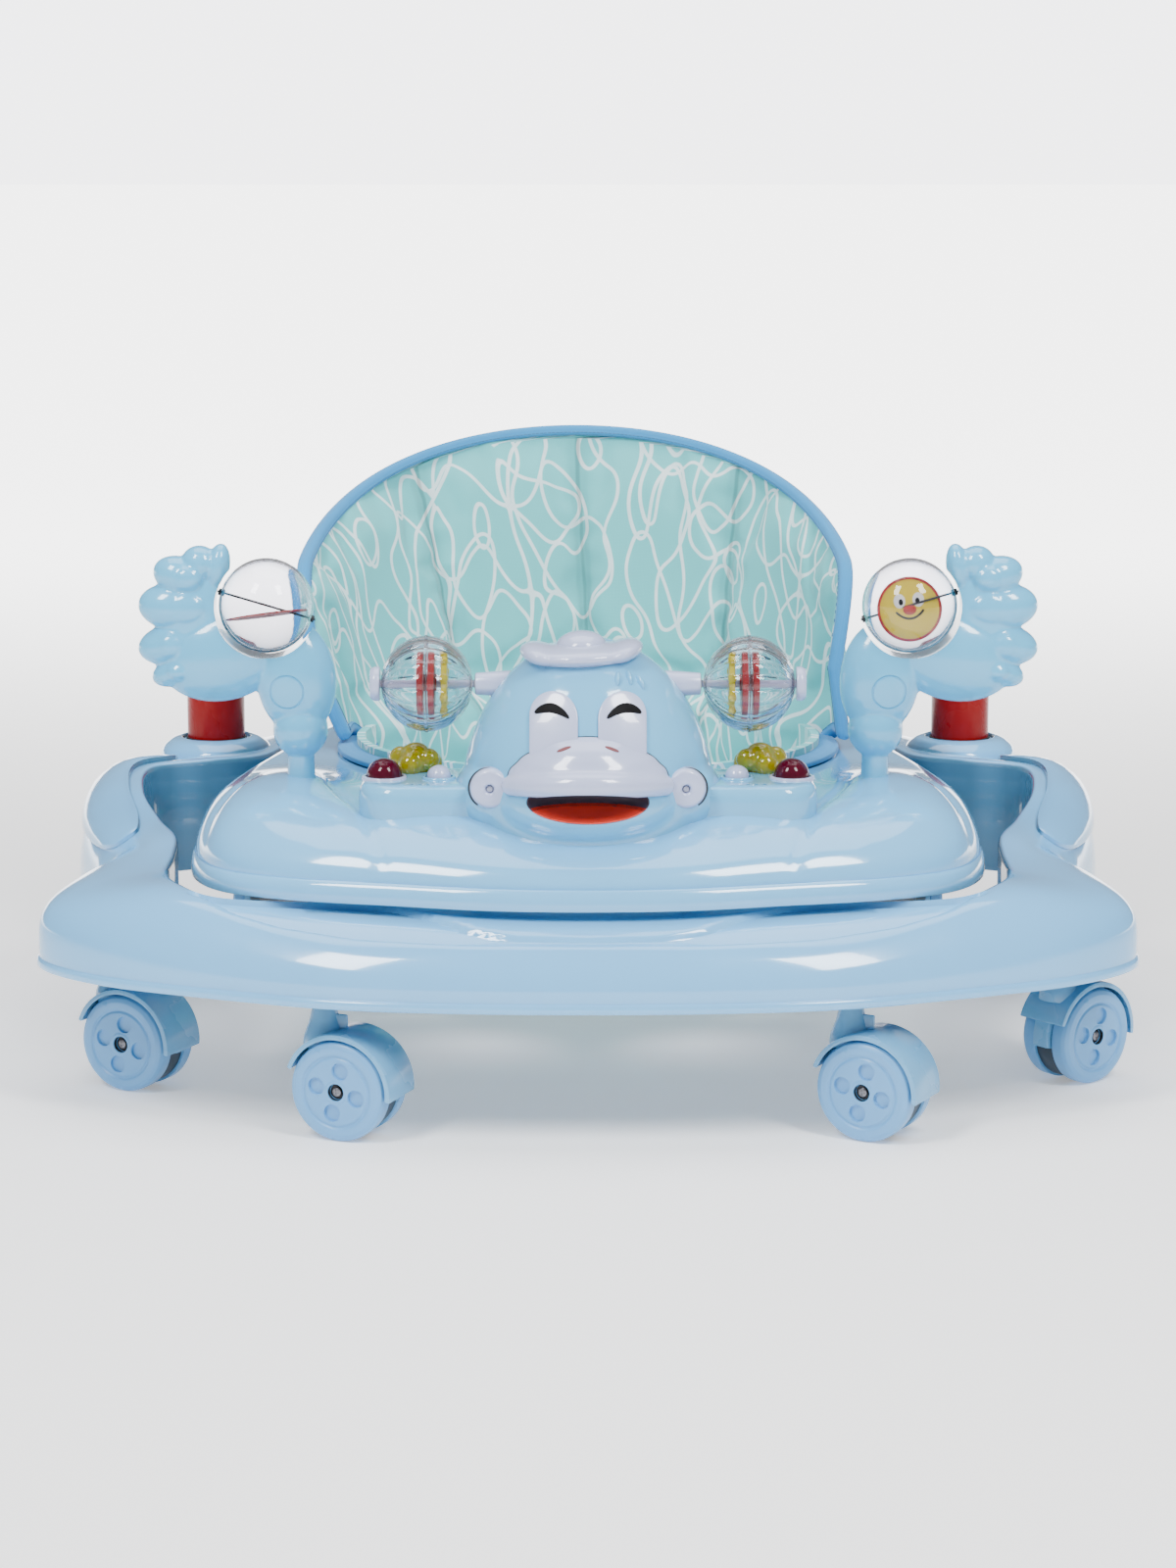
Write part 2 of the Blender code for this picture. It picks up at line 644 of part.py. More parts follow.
def tray_loft(name, grow_outer, grow_inner, mat=None, bottom=None, steps=DECK_STEPS):
    """Tray shell, or with grow_inner None a solid block under its skin down to bottom."""
    rows = tray_rows()
    sections = []
    for index, row in enumerate(rows):
        outer = tray_section(row, index, len(rows), grow_outer, steps)
        if grow_inner is None:
            outer[0] = (*outer[0][:2], bottom)
            outer[-1] = (*outer[-1][:2], bottom)
            # The underside runs the other way round, so its triangles split as the shell's do.
            sections.append(outer[::-1] if grow_outer < 0 else outer)
        else:
            inner = tray_section(row, index, len(rows), grow_inner, LINING_STEPS)
            sections.append(outer + inner[::-1])
    return loft_closed(name, sections, mat)


def tray_fittings(side, sign, under_deck, mat):
    """Front guide for the outer frame's bar and rear bracket for the inner frame's stubs."""
    low_z = TRAY_PIVOT_Z - 0.0085
    guide = side_box("tray_guide_" + side, sign, (0.166, FRONT_Y - 0.013, low_z),
                     (0.172, FRONT_Y + 0.074, DECK_TOP + 0.02), mat)
    slot = side_box("tray_slot_" + side, sign, (0.150, FRONT_Y - SLOT_BACK, TRAY_PIVOT_Z - SLOT_HALF),
                    (0.190, FRONT_Y + SLOT_FRONT, TRAY_PIVOT_Z + SLOT_HALF))
    keep_inside(guide, under_deck)
    carve(guide, slot)

    bracket = side_box("tray_bracket_" + side, sign, (0.179, PIVOT_Y - 0.014, low_z),
                       (0.1905, PIVOT_Y + 0.014, DECK_TOP + 0.02), mat)
    keep_inside(bracket, under_deck)
    carve(bracket, rod("tray_bracket_hole_" + side, (sign * 0.170, PIVOT_Y, TRAY_PIVOT_Z),
                       (sign * 0.200, PIVOT_Y, TRAY_PIVOT_Z), PIN_R + GAP))
    return guide, bracket


# ---------------------------------------------------------------- duck console
def head_solid(name, mat=None, grow=0.0):
    """Dome of the head with the rounded jaw below it."""
    radii = HEAD_RADII + Vector((grow, grow, grow))
    head = ball(name, HEAD_CENTRE, radii, mat, segments=20, rings=10)
    jaw = ball(name + "_jaw", Vector((0, -0.235, 0.198)),
               Vector((0.056 + grow, 0.042 + grow, 0.027 + grow)), segments=18, rings=8)
    return fuse(head, jaw)


def beak_disc(name, sign, grow):
    """Round cheek of the beak, where a screw holds it to the head."""
    return rod(name, (sign * 0.058, -0.225 + grow, 0.2075), (sign * 0.060, -0.2475 - grow, 0.2070),
               0.0122 + grow, segments=14)


def duck(mats, deck_trim, head_trim):
    head = head_solid("duck_head", mats["pale_blue"])
    mouth = ball("mouth_hollow", MOUTH_CENTRE, MOUTH_RADII, segments=16, rings=8)
    carve(head, mouth, deck_trim)

    inside = MOUTH_RADII - Vector((GAP, GAP, GAP))
    liner = ball("mouth_liner", MOUTH_CENTRE, inside, mats["mouth"], segments=16, rings=8)
    keep_inside(liner, box("mouth_floor", (-0.05, -0.264, 0.18), (0.05, -0.230, 0.2035)))

    beak = ball("beak", Vector((0, -0.248, 0.220)), Vector((0.054, 0.041, 0.0185)),
                mats["lavender"], segments=20, rings=8)
    fuse(beak, *[beak_disc("beak_disc_" + side, sign, 0.0) for side, sign in SIDES])
    carve(beak, head_trim)
    carve(beak, ball("beak_underside", Vector((0, -0.275, 0.196)), Vector((0.043, 0.050, 0.0155)),
                     segments=18, rings=8))
    carve(beak, deck_trim)

    brim = ball("hat", Vector((0, -0.212, 0.2855)), Vector((0.0385, 0.030, 0.0085)),
                mats["lavender"], segments=20, rings=8)
    fuse(brim, ball("hat_crown", Vector((0, -0.207, 0.290)), Vector((0.0165, 0.0165, 0.0100)),
                    segments=12, rings=8))
    carve(brim, head_trim)
    return head, liner, beak, brim


def wing_outline(sign, outer_x):
    """Plan of one console wing: square where the head cuts it, rounded at its outer end."""
    centre_y, half_y, corner, inner_x = -0.199, 0.036, 0.024, 0.030
    points = [(inner_x, centre_y + half_y), (inner_x, centre_y - half_y)]
    points += arc(outer_x - corner, centre_y - half_y + corner, corner, -90, 0, 6)
    points += arc(outer_x - corner, centre_y + half_y - corner, corner, 0, 90, 6)
    return [(sign * x, y) for x, y in points]


def button(kind, side, x, y, radius, dome, wing, mat):
    """Domed push button in a pocket of its wing, with room below it to travel."""
    spot = Matrix.Translation((x, y, 0.0))
    floor, rim = CONSOLE_TOP - 0.0045, CONSOLE_TOP + 0.002
    profile = [(0.0, floor), (radius, floor), (radius, rim)]
    profile += [(radius * math.cos(a), rim + (dome - 0.002) * math.sin(a)) for a in (0.4, 0.8, 1.15)]
    profile.append((0.0, CONSOLE_TOP + dome))
    pusher = lathe("%s_%s" % (kind, side), profile, spot, mat, segments=14)
    hollow = [(0.0, floor - BUTTON_TRAVEL), (radius + 0.0006, floor - BUTTON_TRAVEL),
              (radius + 0.0006, CONSOLE_TOP + 0.01), (0.0, CONSOLE_TOP + 0.01)]
    carve(wing, lathe("%s_pocket_%s" % (kind, side), hollow, spot, segments=14))
    hang_on(joint_point("%s_slide_%s" % (kind, side), Vector((x, y, CONSOLE_TOP))), pusher)


def console_wing(side, sign, mats, deck_trim, head_trim):
    """Wing beside the head with its two buttons and its leaf-shaped lens."""
    outline, inset = wing_outline(sign, 0.142), wing_outline(sign, 0.139)
    rings = [[(x, y, 0.165) for x, y in outline], [(x, y, CONSOLE_TOP - 0.004) for x, y in outline],
             [(x, -0.199 + (y + 0.199) * 0.93, CONSOLE_TOP) for x, y in inset]]
    wing = loft_capped("console_wing_" + side, rings, mats["pale_blue"])
    carve(wing, deck_trim, head_trim, beak_disc("cheek_trim_" + side, sign, 0.0006))
    button("round_button", side, sign * 0.1265, -0.203, 0.0110, 0.0125, wing, mats["maroon"])
    button("small_button", side, sign * 0.0925, -0.205, 0.0075, 0.0080, wing, mats["lavender"])
    leaf = ball("leaf_lens_" + side, Vector((sign * 0.108, -0.179, CONSOLE_TOP + 0.005)),
                Vector((0.0175, 0.0130, 0.0120)), mats["olive"], segments=14, rings=8)
    carve(leaf, box("leaf_base_" + side, (sign * 0.108 - 0.03, -0.22, 0.15),
                    (sign * 0.108 + 0.03, -0.14, CONSOLE_TOP + GAP)), head_trim)
    return wing, leaf


def rattle(side, sign, mats, head_trim):
    """Clear ball that spins on a pin held out from the side of the head."""
    turn = (Matrix.Translation(RATTLE_AXIS)
            @ Matrix.Rotation(sign * math.radians(90), 4, "Y"))
    near, far = RATTLE_X - RATTLE_R, RATTLE_X + RATTLE_R
    arm_profile = [(0.0, 0.040), (0.0085, 0.040), (0.0066, near - 0.002), (0.0022, near - 0.002),
                   (0.0022, far + 0.0015), (0.0105, far + 0.0015), (0.0105, far + 0.0050),
                   (0.0090, far + 0.0065), (0.0, far + 0.0070)]
    arm = lathe("rattle_arm_" + side, arm_profile, turn, mats["lavender"], segments=16)
    carve(arm, head_trim)

    hole = 0.0030
    start = math.asin(hole / RATTLE_R)
    angles = [start + (math.pi - 2 * start) * i / 6 for i in range(7)]
    skin = [(RATTLE_R * math.sin(a), RATTLE_X - RATTLE_R * math.cos(a)) for a in angles]
    inner_r = RATTLE_R - RATTLE_WALL
    lining = [(inner_r * math.sin(a), RATTLE_X - inner_r * math.cos(a)) for a in reversed(angles)]
    shell = lathe("rattle_ball_" + side, skin + lining, turn, mats["clear"], segments=14,
                  closed=True)

    core_profile = [(0.0026, RATTLE_X - 0.014), (0.0050, RATTLE_X - 0.014),
                    (0.0210, RATTLE_X - 0.0115), (0.0210, RATTLE_X - 0.0085),
                    (0.0050, RATTLE_X - 0.006), (0.0050, RATTLE_X - 0.003),
                    (0.0215, RATTLE_X - 0.003), (0.0215, RATTLE_X + 0.003),
                    (0.0050, RATTLE_X + 0.003), (0.0026, RATTLE_X + 0.004)]
    core = lathe("rattle_core_" + side, core_profile, turn, mats["red"], segments=14, closed=True)
    return arm, shell, core


# ---------------------------------------------------------------- hands
# Lobes of the right hand about the ball's centre: x, z, half-size x, y, z, tilt in degrees.
HAND_LOBES = [
    (0.0300, 0.0245, 0.0075, 0.0100, 0.0150, 10.0),
    (0.0415, 0.0265, 0.0120, 0.0110, 0.0115, 15.0),
    (0.0535, 0.0185, 0.0180, 0.0125, 0.0125, 18.0),
    (0.0585, -0.0010, 0.0225, 0.0135, 0.0150, 6.0),
    (0.0595, -0.0245, 0.0222, 0.0130, 0.0132, -10.0),
    (0.0555, -0.0405, 0.0185, 0.0115, 0.0098, -22.0),
    (0.0465, -0.0080, 0.0220, 0.0115, 0.0320, 10.0),
    (0.0290, -0.0320, 0.0400, 0.0165, 0.0290, -10.0),
    (-0.0180, -0.0460, 0.0255, 0.0160, 0.0370, -6.0),
    (-0.0205, -0.0790, 0.0175, 0.0155, 0.0185, 0.0),
]


def hand(side, sign, mats, deck_trim):
    """Open hand that cradles a clear spinning ball."""
    pieces = []
    for k, (x, z, a, b, c, tilt) in enumerate(HAND_LOBES):
        centre = Vector((sign * (BALL_CENTRE.x + x), BALL_CENTRE.y, BALL_CENTRE.z + z))
        pieces.append(ball("hand_lobe_%s_%d" % (side, k), centre, (a, b, c), segments=8, rings=5,
                           turn=sign * math.radians(-tilt)))
    stem = [(0.0, 0.170), (0.0092, 0.170), (0.0085, 0.205), (0.0085, 0.235), (0.0, 0.235)]
    place = Matrix.Translation((sign * (BALL_CENTRE.x - 0.0205), BALL_CENTRE.y, 0))
    body = lathe("hand_" + side, stem, place, mats["pale_blue"], segments=16)
    fuse(body, *pieces)
    centre = Vector((sign * BALL_CENTRE.x, BALL_CENTRE.y, BALL_CENTRE.z))
    depth = Vector((0, BALL_R, 0))
    socket = rod("ball_socket_" + side, centre - depth, centre + depth, BALL_R + 0.0025, segments=28)
    carve(body, socket, deck_trim)

    # Local frame of the spinning ball: its Z is the pin, and its X the normal of the card.
    axis = Vector((-sign * math.cos(BALL_TILT), 0.0, -math.sin(BALL_TILT)))
    normal = Vector((0.0, -1.0, 0.0)) if sign > 0 else axis.cross(Vector((0.0, -1.0, 0.0)))
    turn = Matrix.Translation(centre) @ Matrix((normal, axis.cross(normal), axis)).transposed().to_4x4()
    start = math.asin(0.0025 / BALL_R)
    angles = [start + (math.pi - 2 * start) * i / 6 for i in range(7)]
    skin = [(BALL_R * math.sin(a), -BALL_R * math.cos(a)) for a in angles]
    inner_r = BALL_R - BALL_WALL
    lining = [(inner_r * math.sin(a), -inner_r * math.cos(a)) for a in reversed(angles)]
    shell = lathe("clear_ball_" + side, skin + lining, turn, mats["clear"], segments=14, closed=True)

    # The card is a disc with a pin left on each side of it.
    pin, disc, reach = 0.0012, 0.0235, BALL_R + 0.0021
    bend = math.degrees(math.asin(pin / disc))
    outline = (arc(0, 0, disc, 90 + bend, 270 - bend, 14) + [(-pin, -reach), (pin, -reach)]
               + arc(0, 0, disc, 270 + bend, 450 - bend, 14) + [(pin, reach), (-pin, reach)])
    card = plate("ball_card_" + side, outline, -CARD_HALF, CARD_HALF, mats["yellow"])
    card.data.transform(turn)
    return body, shell, card


# ---------------------------------------------------------------- seat
def seat_hoop(mat):
    """Flanged hoop that clips in the tray's seat opening."""
    steps = 32
    sections = []
    for i in range(steps):
        a = 2 * math.pi * i / steps
        flat = [(0.005, DECK_TOP + 0.0006), (0.005, DECK_TOP + 0.0030), (-0.0065, DECK_TOP + 0.0040),
                (-0.0065, DECK_TOP - 0.026), (-0.0008, DECK_TOP - 0.026), (-0.0008, DECK_TOP + 0.0006)]
        sections.append([(*seat_oval(a, grow), z) for grow, z in flat])
    return loft_closed("seat_hoop", sections, mat)


def seat_pan(mat):
    """Sling as one closed skin: outer rings, bottom, then the lining back up to the rim."""
    levels = [(-0.0072, 0.1965), (-0.0080, 0.165), (-0.0170, 0.125), (-0.0400, 0.090),
              (-0.0800, 0.069), (-0.1250, 0.062)]
    steps = 28
    bm = bmesh.new()

    def ring(grow, z):
        return [bm.verts.new((*seat_oval(2 * math.pi * i / steps, grow), z)) for i in range(steps)]

    def bridge(a, b):
        for j in range(steps):
            k = (j + 1) % steps
            bm.faces.new((a[j], a[k], b[k], b[j]))

    outer = [ring(grow, z) for grow, z in levels]
    lifts = (0.0, 0.3, 0.5, 0.8, 1.0, 1.0)
    inner = [ring(grow - PAN_WALL, z + PAN_WALL * lift) for (grow, z), lift in zip(levels, lifts)]
    for a, b in zip(outer, outer[1:]):
        bridge(a, b)
    for a, b in zip(inner, inner[1:]):
        bridge(b, a)
    bridge(inner[0], outer[0])
    bm.faces.new(outer[-1])
    bm.faces.new(inner[-1])
    pan = new_object("seat_pan", bm, mat)
    for k, sign in enumerate((-1, 1)):
        carve(pan, rod("leg_hole_%d" % k, (sign * 0.045, 0.02, 0.150), (sign * 0.098, -0.150, 0.045),
                       0.043, segments=16))
    return pan


def back_top(s):
    """Height of the backrest's top edge; s runs from -1 to 1 round the back."""
    arch = 0.300 + 0.087 * math.cos(0.95 * s * math.radians(90)) ** 1.5
    corner = max(0.0, (abs(s) - 0.86) / 0.14)
    return arch - 0.060 * (1 - math.sqrt(max(0.0, 1 - corner ** 2)))


def seat_back(mat):
    """Padded backrest that curves round the rear half of the seat."""
    steps_s, steps_t = 24, 6

    def point(s, t, inward):
        z = BACK_BOTTOM + (back_top(s) - BACK_BOTTOM) * t
        lean = BACK_LEAN + (SIDE_LEAN - BACK_LEAN) * math.sin(s * BACK_HALF_ANGLE) ** 2
        flare = 0.010 + lean * (z - BACK_BOTTOM)
        x, y = seat_oval(math.pi + s * BACK_HALF_ANGLE, flare - inward)
        # The cloth sits a little askew on its wire: its top leans to one side.
        return (x + 0.004 - 0.013 * t, y, z)

    bm = bmesh.new()
    skins = []
    for inward in (0.0, BACK_THICK):
        skins.append([[bm.verts.new(point(-1 + 2 * i / steps_s, j / steps_t, inward))
                       for j in range(steps_t + 1)] for i in range(steps_s + 1)])
    for grid in skins:
        for i in range(steps_s):
            for j in range(steps_t):
                bm.faces.new((grid[i][j], grid[i + 1][j], grid[i + 1][j + 1], grid[i][j + 1]))
    rim = ([(i, 0) for i in range(steps_s)] + [(steps_s, j) for j in range(steps_t)]
           + [(i, steps_t) for i in range(steps_s, 0, -1)] + [(0, j) for j in range(steps_t, 0, -1)])
    lower, upper = skins
    for (i, j), (k, m) in zip(rim, rim[1:] + rim[:1]):
        bm.faces.new((lower[i][j], lower[k][m], upper[k][m], upper[i][j]))
    return new_object("seat_back", bm, mat)


# ---------------------------------------------------------------- assembly
def build():
    clear_scene()
    mats = {
        "baby_blue": plastic("baby_blue_plastic", BABY_BLUE),
        "pale_blue": plastic("pale_blue_plastic", PALE_BLUE),
        "lavender": plastic("lavender_plastic", LAVENDER),
        "cream": plastic("cream_plastic", CREAM, 0.4),
        "red": plastic("red_plastic", RED),
        "mouth": plastic("mouth_red_plastic", MOUTH_RED, 0.35),
        "maroon": plastic("maroon_plastic", MAROON, 0.15),
        "olive": plastic("olive_plastic", OLIVE, 0.15, 0.8),
        "clear": plastic("clear_plastic", CLEAR, 0.05, 0.25),
        "yellow": plastic("yellow_card", (0.70, 0.50, 0.03), 0.5),
        "wheel": plastic("wheel_plastic", WHEEL_BLUE, 0.35),
        "aqua": plastic("aqua_fabric", AQUA, 0.9),
        "steel": metal("steel", (0.55, 0.55, 0.57)),
    }
    ring_trim = ring_tool()
    deck_trim = as_tool(tray_loft("deck_tool", GAP, None, bottom=0.06))
    head_trim = as_tool(head_solid("head_tool", grow=GAP))
    under_deck = as_tool(tray_loft("under_deck_tool", -TRAY_WALL - GAP, None, bottom=0.06,
                                  steps=LINING_STEPS))

    base_ring(mats["baby_blue"])
    casters(mats)
    frame_parts(mats)
    for side, sign in SIDES:
        side_pad(side, sign, mats["baby_blue"])
        handle_socket(side, sign, ring_trim, mats["baby_blue"], mats["red"])
        base_fittings(side, sign, ring_trim, mats["cream"])

    tray_axis = joint_point("tray_hinge", Vector((0, PIVOT_Y, TRAY_PIVOT_Z)))
    hang_on(tray_axis, tray_loft("tray_shell", 0.0, -TRAY_WALL, mats["baby_blue"]))
    for side, sign in SIDES:
        hang_on(tray_axis, *tray_fittings(side, sign, under_deck, mats["cream"]))
    hang_on(tray_axis, *duck(mats, deck_trim, head_trim))
    for side, sign in SIDES:
        hang_on(tray_axis, *console_wing(side, sign, mats, deck_trim, head_trim))
        arm, shell, core = rattle(side, sign, mats, head_trim)
        hang_on(tray_axis, arm)
        spin = Vector((sign * RATTLE_X, RATTLE_AXIS.y, RATTLE_AXIS.z))
        hang_on(joint_point("rattle_spin_" + side, spin), shell, core)
        body, clear, card = hand(side, sign, mats, deck_trim)
        hang_on(tray_axis, body)
        spin = Vector((sign * BALL_CENTRE.x, BALL_CENTRE.y, BALL_CENTRE.z))
        hang_on(joint_point("ball_spin_" + side, spin), clear, card)
    hang_on(tray_axis, seat_hoop(mats["pale_blue"]), seat_pan(mats["aqua"]),
            seat_back(mats["aqua"]))


build()
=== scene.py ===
"""Looks of the folding baby walker with the duck-faced play tray, built round its CAD frame.

Metres, +Z up, the duck looks towards -Y.  Shapes are (points, faces) pairs until they become objects.
"""
import math

import bmesh
import bpy
import numpy as np
from mathutils import Matrix, Vector
from mathutils.bvhtree import BVHTree


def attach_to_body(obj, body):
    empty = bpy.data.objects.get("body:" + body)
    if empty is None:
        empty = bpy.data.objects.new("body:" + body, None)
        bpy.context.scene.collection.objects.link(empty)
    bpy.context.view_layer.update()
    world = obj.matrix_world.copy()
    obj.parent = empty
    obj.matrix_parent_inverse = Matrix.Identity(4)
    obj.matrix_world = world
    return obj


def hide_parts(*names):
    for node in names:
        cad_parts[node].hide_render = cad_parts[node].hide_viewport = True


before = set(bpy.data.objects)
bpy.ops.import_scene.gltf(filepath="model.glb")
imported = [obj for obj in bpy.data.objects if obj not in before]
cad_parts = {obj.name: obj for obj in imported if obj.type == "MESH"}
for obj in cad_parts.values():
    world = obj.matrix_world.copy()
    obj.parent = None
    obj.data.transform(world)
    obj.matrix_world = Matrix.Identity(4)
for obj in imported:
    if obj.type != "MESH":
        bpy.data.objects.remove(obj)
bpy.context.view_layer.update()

SIDES = (("left", -1.0), ("right", 1.0))
TURN = 2 * math.pi


# ---------------------------------------------------------------- driving dimensions
RING_WALL, RING_SHOULDER, RING_ROWS = 0.003, 0.098, 12
TRAY_WALL, TRAY_LIP, DECK_TOP = 0.0025, 0.1530, 0.186
SEAT_CENTRE_Y, SEAT_HALF_X, SEAT_HALF_Y = 0.020, 0.165, 0.148
WHEEL_R, WHEEL_HALF_WIDTH, WHEEL_INNER, TRAIL, STEM_TOP = 0.031, 0.019, 0.0075, 0.016, 0.112
POST_X, POST_Y, POST_R = 0.268, 0.150, 0.0205
HEAD_CENTRE, HEAD_RADII = (0.0, -0.200, 0.190), (0.079, 0.066, 0.104)
JAW_CENTRE, JAW_RADII = (0.0, -0.235, 0.198), (0.056, 0.042, 0.027)
MOUTH_CENTRE, MOUTH_RADII = (0.0, -0.276, 0.203), (0.040, 0.030, 0.0125)
RATTLE_Y, RATTLE_Z, RATTLE_X, RATTLE_R = -0.195, 0.264, 0.100, 0.0285
BALL_CENTRE, BALL_R, BALL_TILT = Vector((0.203, -0.150, 0.307)), 0.030, math.radians(16.5)
CONSOLE_TOP, HEAD_BOTTOM = 0.206, 0.158
ROOM_LIGHT, FLOOR_LIGHT, BACKDROP_LIGHT = 0.40, 0.36, 4.6
BACK_HALF_ANGLE, BACK_BOTTOM, BACK_LEAN, SIDE_LEAN = math.radians(93), 0.1960, 0.30, 0.15
BACK_COLUMNS, BACK_ROWS = 121, 37
SEAMS = (-0.36, 0.0, 0.355)       # stitched channels of the backrest
LEG_TOP, LEG_END, LEG_R = (0.045, 0.020, 0.150), (0.098, -0.150, 0.045), 0.043
BACK_INSET, TUCK_END = 0.0050, 0.80
BACK_CLOTH_R, SLING_CLOTH_R = 0.185, 0.157      # turn angles round the seat into metres of cloth

# Right half of the ring from front to rear: outer x, y, inner x, y, crown height, squareness.
RING_STATIONS = [
    (0.000, -0.325, 0.000, -0.268, 0.1375, 1.20), (0.080, -0.322, 0.080, -0.264, 0.1375, 1.20),
    (0.155, -0.311, 0.150, -0.252, 0.1380, 1.20), (0.237, -0.281, 0.222, -0.247, 0.140, 1.20),
    (0.302, -0.249, 0.252, -0.220, 0.143, 0.80), (0.343, -0.205, 0.266, -0.170, 0.141, 0.58),
    (0.341, -0.155, 0.267, -0.125, 0.143, 0.62), (0.320, -0.105, 0.270, -0.085, 0.147, 0.80),
    (0.331, -0.060, 0.284, -0.050, 0.151, 0.85), (0.347, 0.000, 0.300, -0.010, 0.163, 0.75),
    (0.349, 0.060, 0.300, 0.045, 0.169, 0.75), (0.340, 0.125, 0.260, 0.074, 0.169, 0.80),
    (0.318, 0.190, 0.228, 0.112, 0.166, 0.80), (0.280, 0.250, 0.208, 0.194, 0.165, 0.90),
    (0.215, 0.295, 0.168, 0.236, 0.163, 0.90), (0.110, 0.318, 0.090, 0.262, 0.162, 0.90),
    (0.000, 0.325, 0.000, 0.270, 0.162, 0.90),
]
# Right half of the tray's lip from front to rear: x, y, width of the rising shoulder.
TRAY_STATIONS = [
    (0.000, -0.295, 0.100), (0.060, -0.291, 0.100), (0.118, -0.277, 0.095), (0.179, -0.261, 0.070),
    (0.225, -0.236, 0.050), (0.247, -0.195, 0.050), (0.252, -0.140, 0.050), (0.246, -0.080, 0.045),
    (0.236, -0.020, 0.040), (0.226, 0.050, 0.036), (0.214, 0.115, 0.034), (0.188, 0.172, 0.032),
    (0.142, 0.208, 0.032), (0.073, 0.228, 0.032), (0.000, 0.234, 0.032),
]
# Casters: name, stem x, stem y, direction in which the wheel trails, in degrees from +X.
CASTERS = [
    ("front_left", -0.160, -0.278, -22.0), ("front_right", 0.160, -0.278, -29.0),
    ("side_left", -0.302, -0.163, -28.0), ("side_right", 0.302, -0.163, 40.0),
    ("rear_left", -0.245, 0.238, 65.0), ("rear_right", 0.245, 0.238, 110.0),
]


# ---------------------------------------------------------------- materials
class Graph:
    """A Principled material with short names for adding nodes to it."""

    def __init__(self, name):
        self.mat = bpy.data.materials.new(name)
        self.mat.use_nodes = True
        self.tree = self.mat.node_tree
        self.shader = self.tree.nodes["Principled BSDF"]
        self.coords = self.tree.nodes.new("ShaderNodeTexCoord")

    def add(self, kind, sockets=None, **settings):
        made = self.tree.nodes.new(kind)
        for key, value in settings.items():
            setattr(made, key, value)
        for key, value in (sockets or {}).items():
            if isinstance(value, bpy.types.NodeSocket):
                self.tree.links.new(value, made.inputs[key])
            else:
                made.inputs[key].default_value = value
        return made

    def math(self, operation, a, b=0.0):
        return self.add("ShaderNodeMath", {0: a, 1: b}, operation=operation).outputs[0]

    def vector(self, operation, a, b):
        return self.add("ShaderNodeVectorMath", {0: a, 1: b}, operation=operation).outputs[0]

    def noise(self, scale, detail=3.0, at=None, flat=False):
        made = self.add("ShaderNodeTexNoise", {"Scale": scale, "Detail": detail},
                        noise_dimensions="2D" if flat else "3D")
        self.tree.links.new(at or self.coords.outputs["Object"], made.inputs["Vector"])
        return made.outputs[0]

    def ramp(self, value, low, high, to_low=0.0, to_high=1.0, smooth=False):
        return self.add("ShaderNodeMapRange", {"Value": value, 1: low, 2: high, 3: to_low, 4: to_high},
                        interpolation_type="SMOOTHSTEP" if smooth else "LINEAR").outputs[0]

    def mix(self, factor, a, b):
        return self.add("ShaderNodeMix", {0: factor, 6: a, 7: b}, data_type="RGBA").outputs[2]

    def bump(self, height, distance, strength=1.0, normal=None):
        sockets = {"Height": height, "Distance": distance, "Strength": strength}
        if normal is not None:
            sockets["Normal"] = normal
        return self.add("ShaderNodeBump", sockets).outputs[0]

    def set(self, **sockets):
        for key, value in sockets.items():
            socket = self.shader.inputs[key.replace("_", " ")]
            if isinstance(value, bpy.types.NodeSocket):
                self.tree.links.new(value, socket)
            else:
                socket.default_value = value


def rgba(colour, gain=1.0):
    return (*(min(1.0, c * gain) for c in colour), 1.0)


def moulded(name, colour, rough=0.13, vary=0.035, texture=0.000008, inside=1.0, **sockets):
    """Moulded plastic: faint flow marks in its colour and gloss, and a fine ripple on its skin; with inside
    below 1, painted shade darkens the walls that face the middle.
    """
    g = Graph(name)
    flow = g.noise(7.0, 4.0)
    specks = g.noise(900.0, 2.0)
    tone = g.math("ADD", g.math("MULTIPLY", flow, 0.8), g.math("MULTIPLY", specks, 0.2))
    tint = g.mix(g.ramp(tone, 0.3, 0.7), rgba(colour, 1 - vary), rgba(colour, 1 + vary))
    if inside < 1.0:
        # Painted shade: darker colour on the walls that face the middle, standing in for the shadow down in
        # the well round the tray.
        level = g.vector("MULTIPLY", g.coords.outputs["Object"], (1, 1, 0))
        outward = g.vector("NORMALIZE", level, (0, 0, 0))
        normal = g.add("ShaderNodeNewGeometry").outputs["Normal"]
        facing = g.add("ShaderNodeVectorMath", {0: outward, 1: normal}, operation="DOT_PRODUCT")
        painted_well_shade = g.ramp(facing.outputs["Value"], -0.75, -0.25, inside, 1.0, smooth=True)
        tint = g.vector("MULTIPLY", tint, painted_well_shade)
    g.set(Base_Color=tint,
          Roughness=g.ramp(g.noise(38.0, 3.0), 0.3, 0.7, rough * 0.8, rough * 1.25),
          Normal=g.bump(g.noise(620.0, 2.0), texture, 0.6))
    g.set(**sockets)
    return g.mat


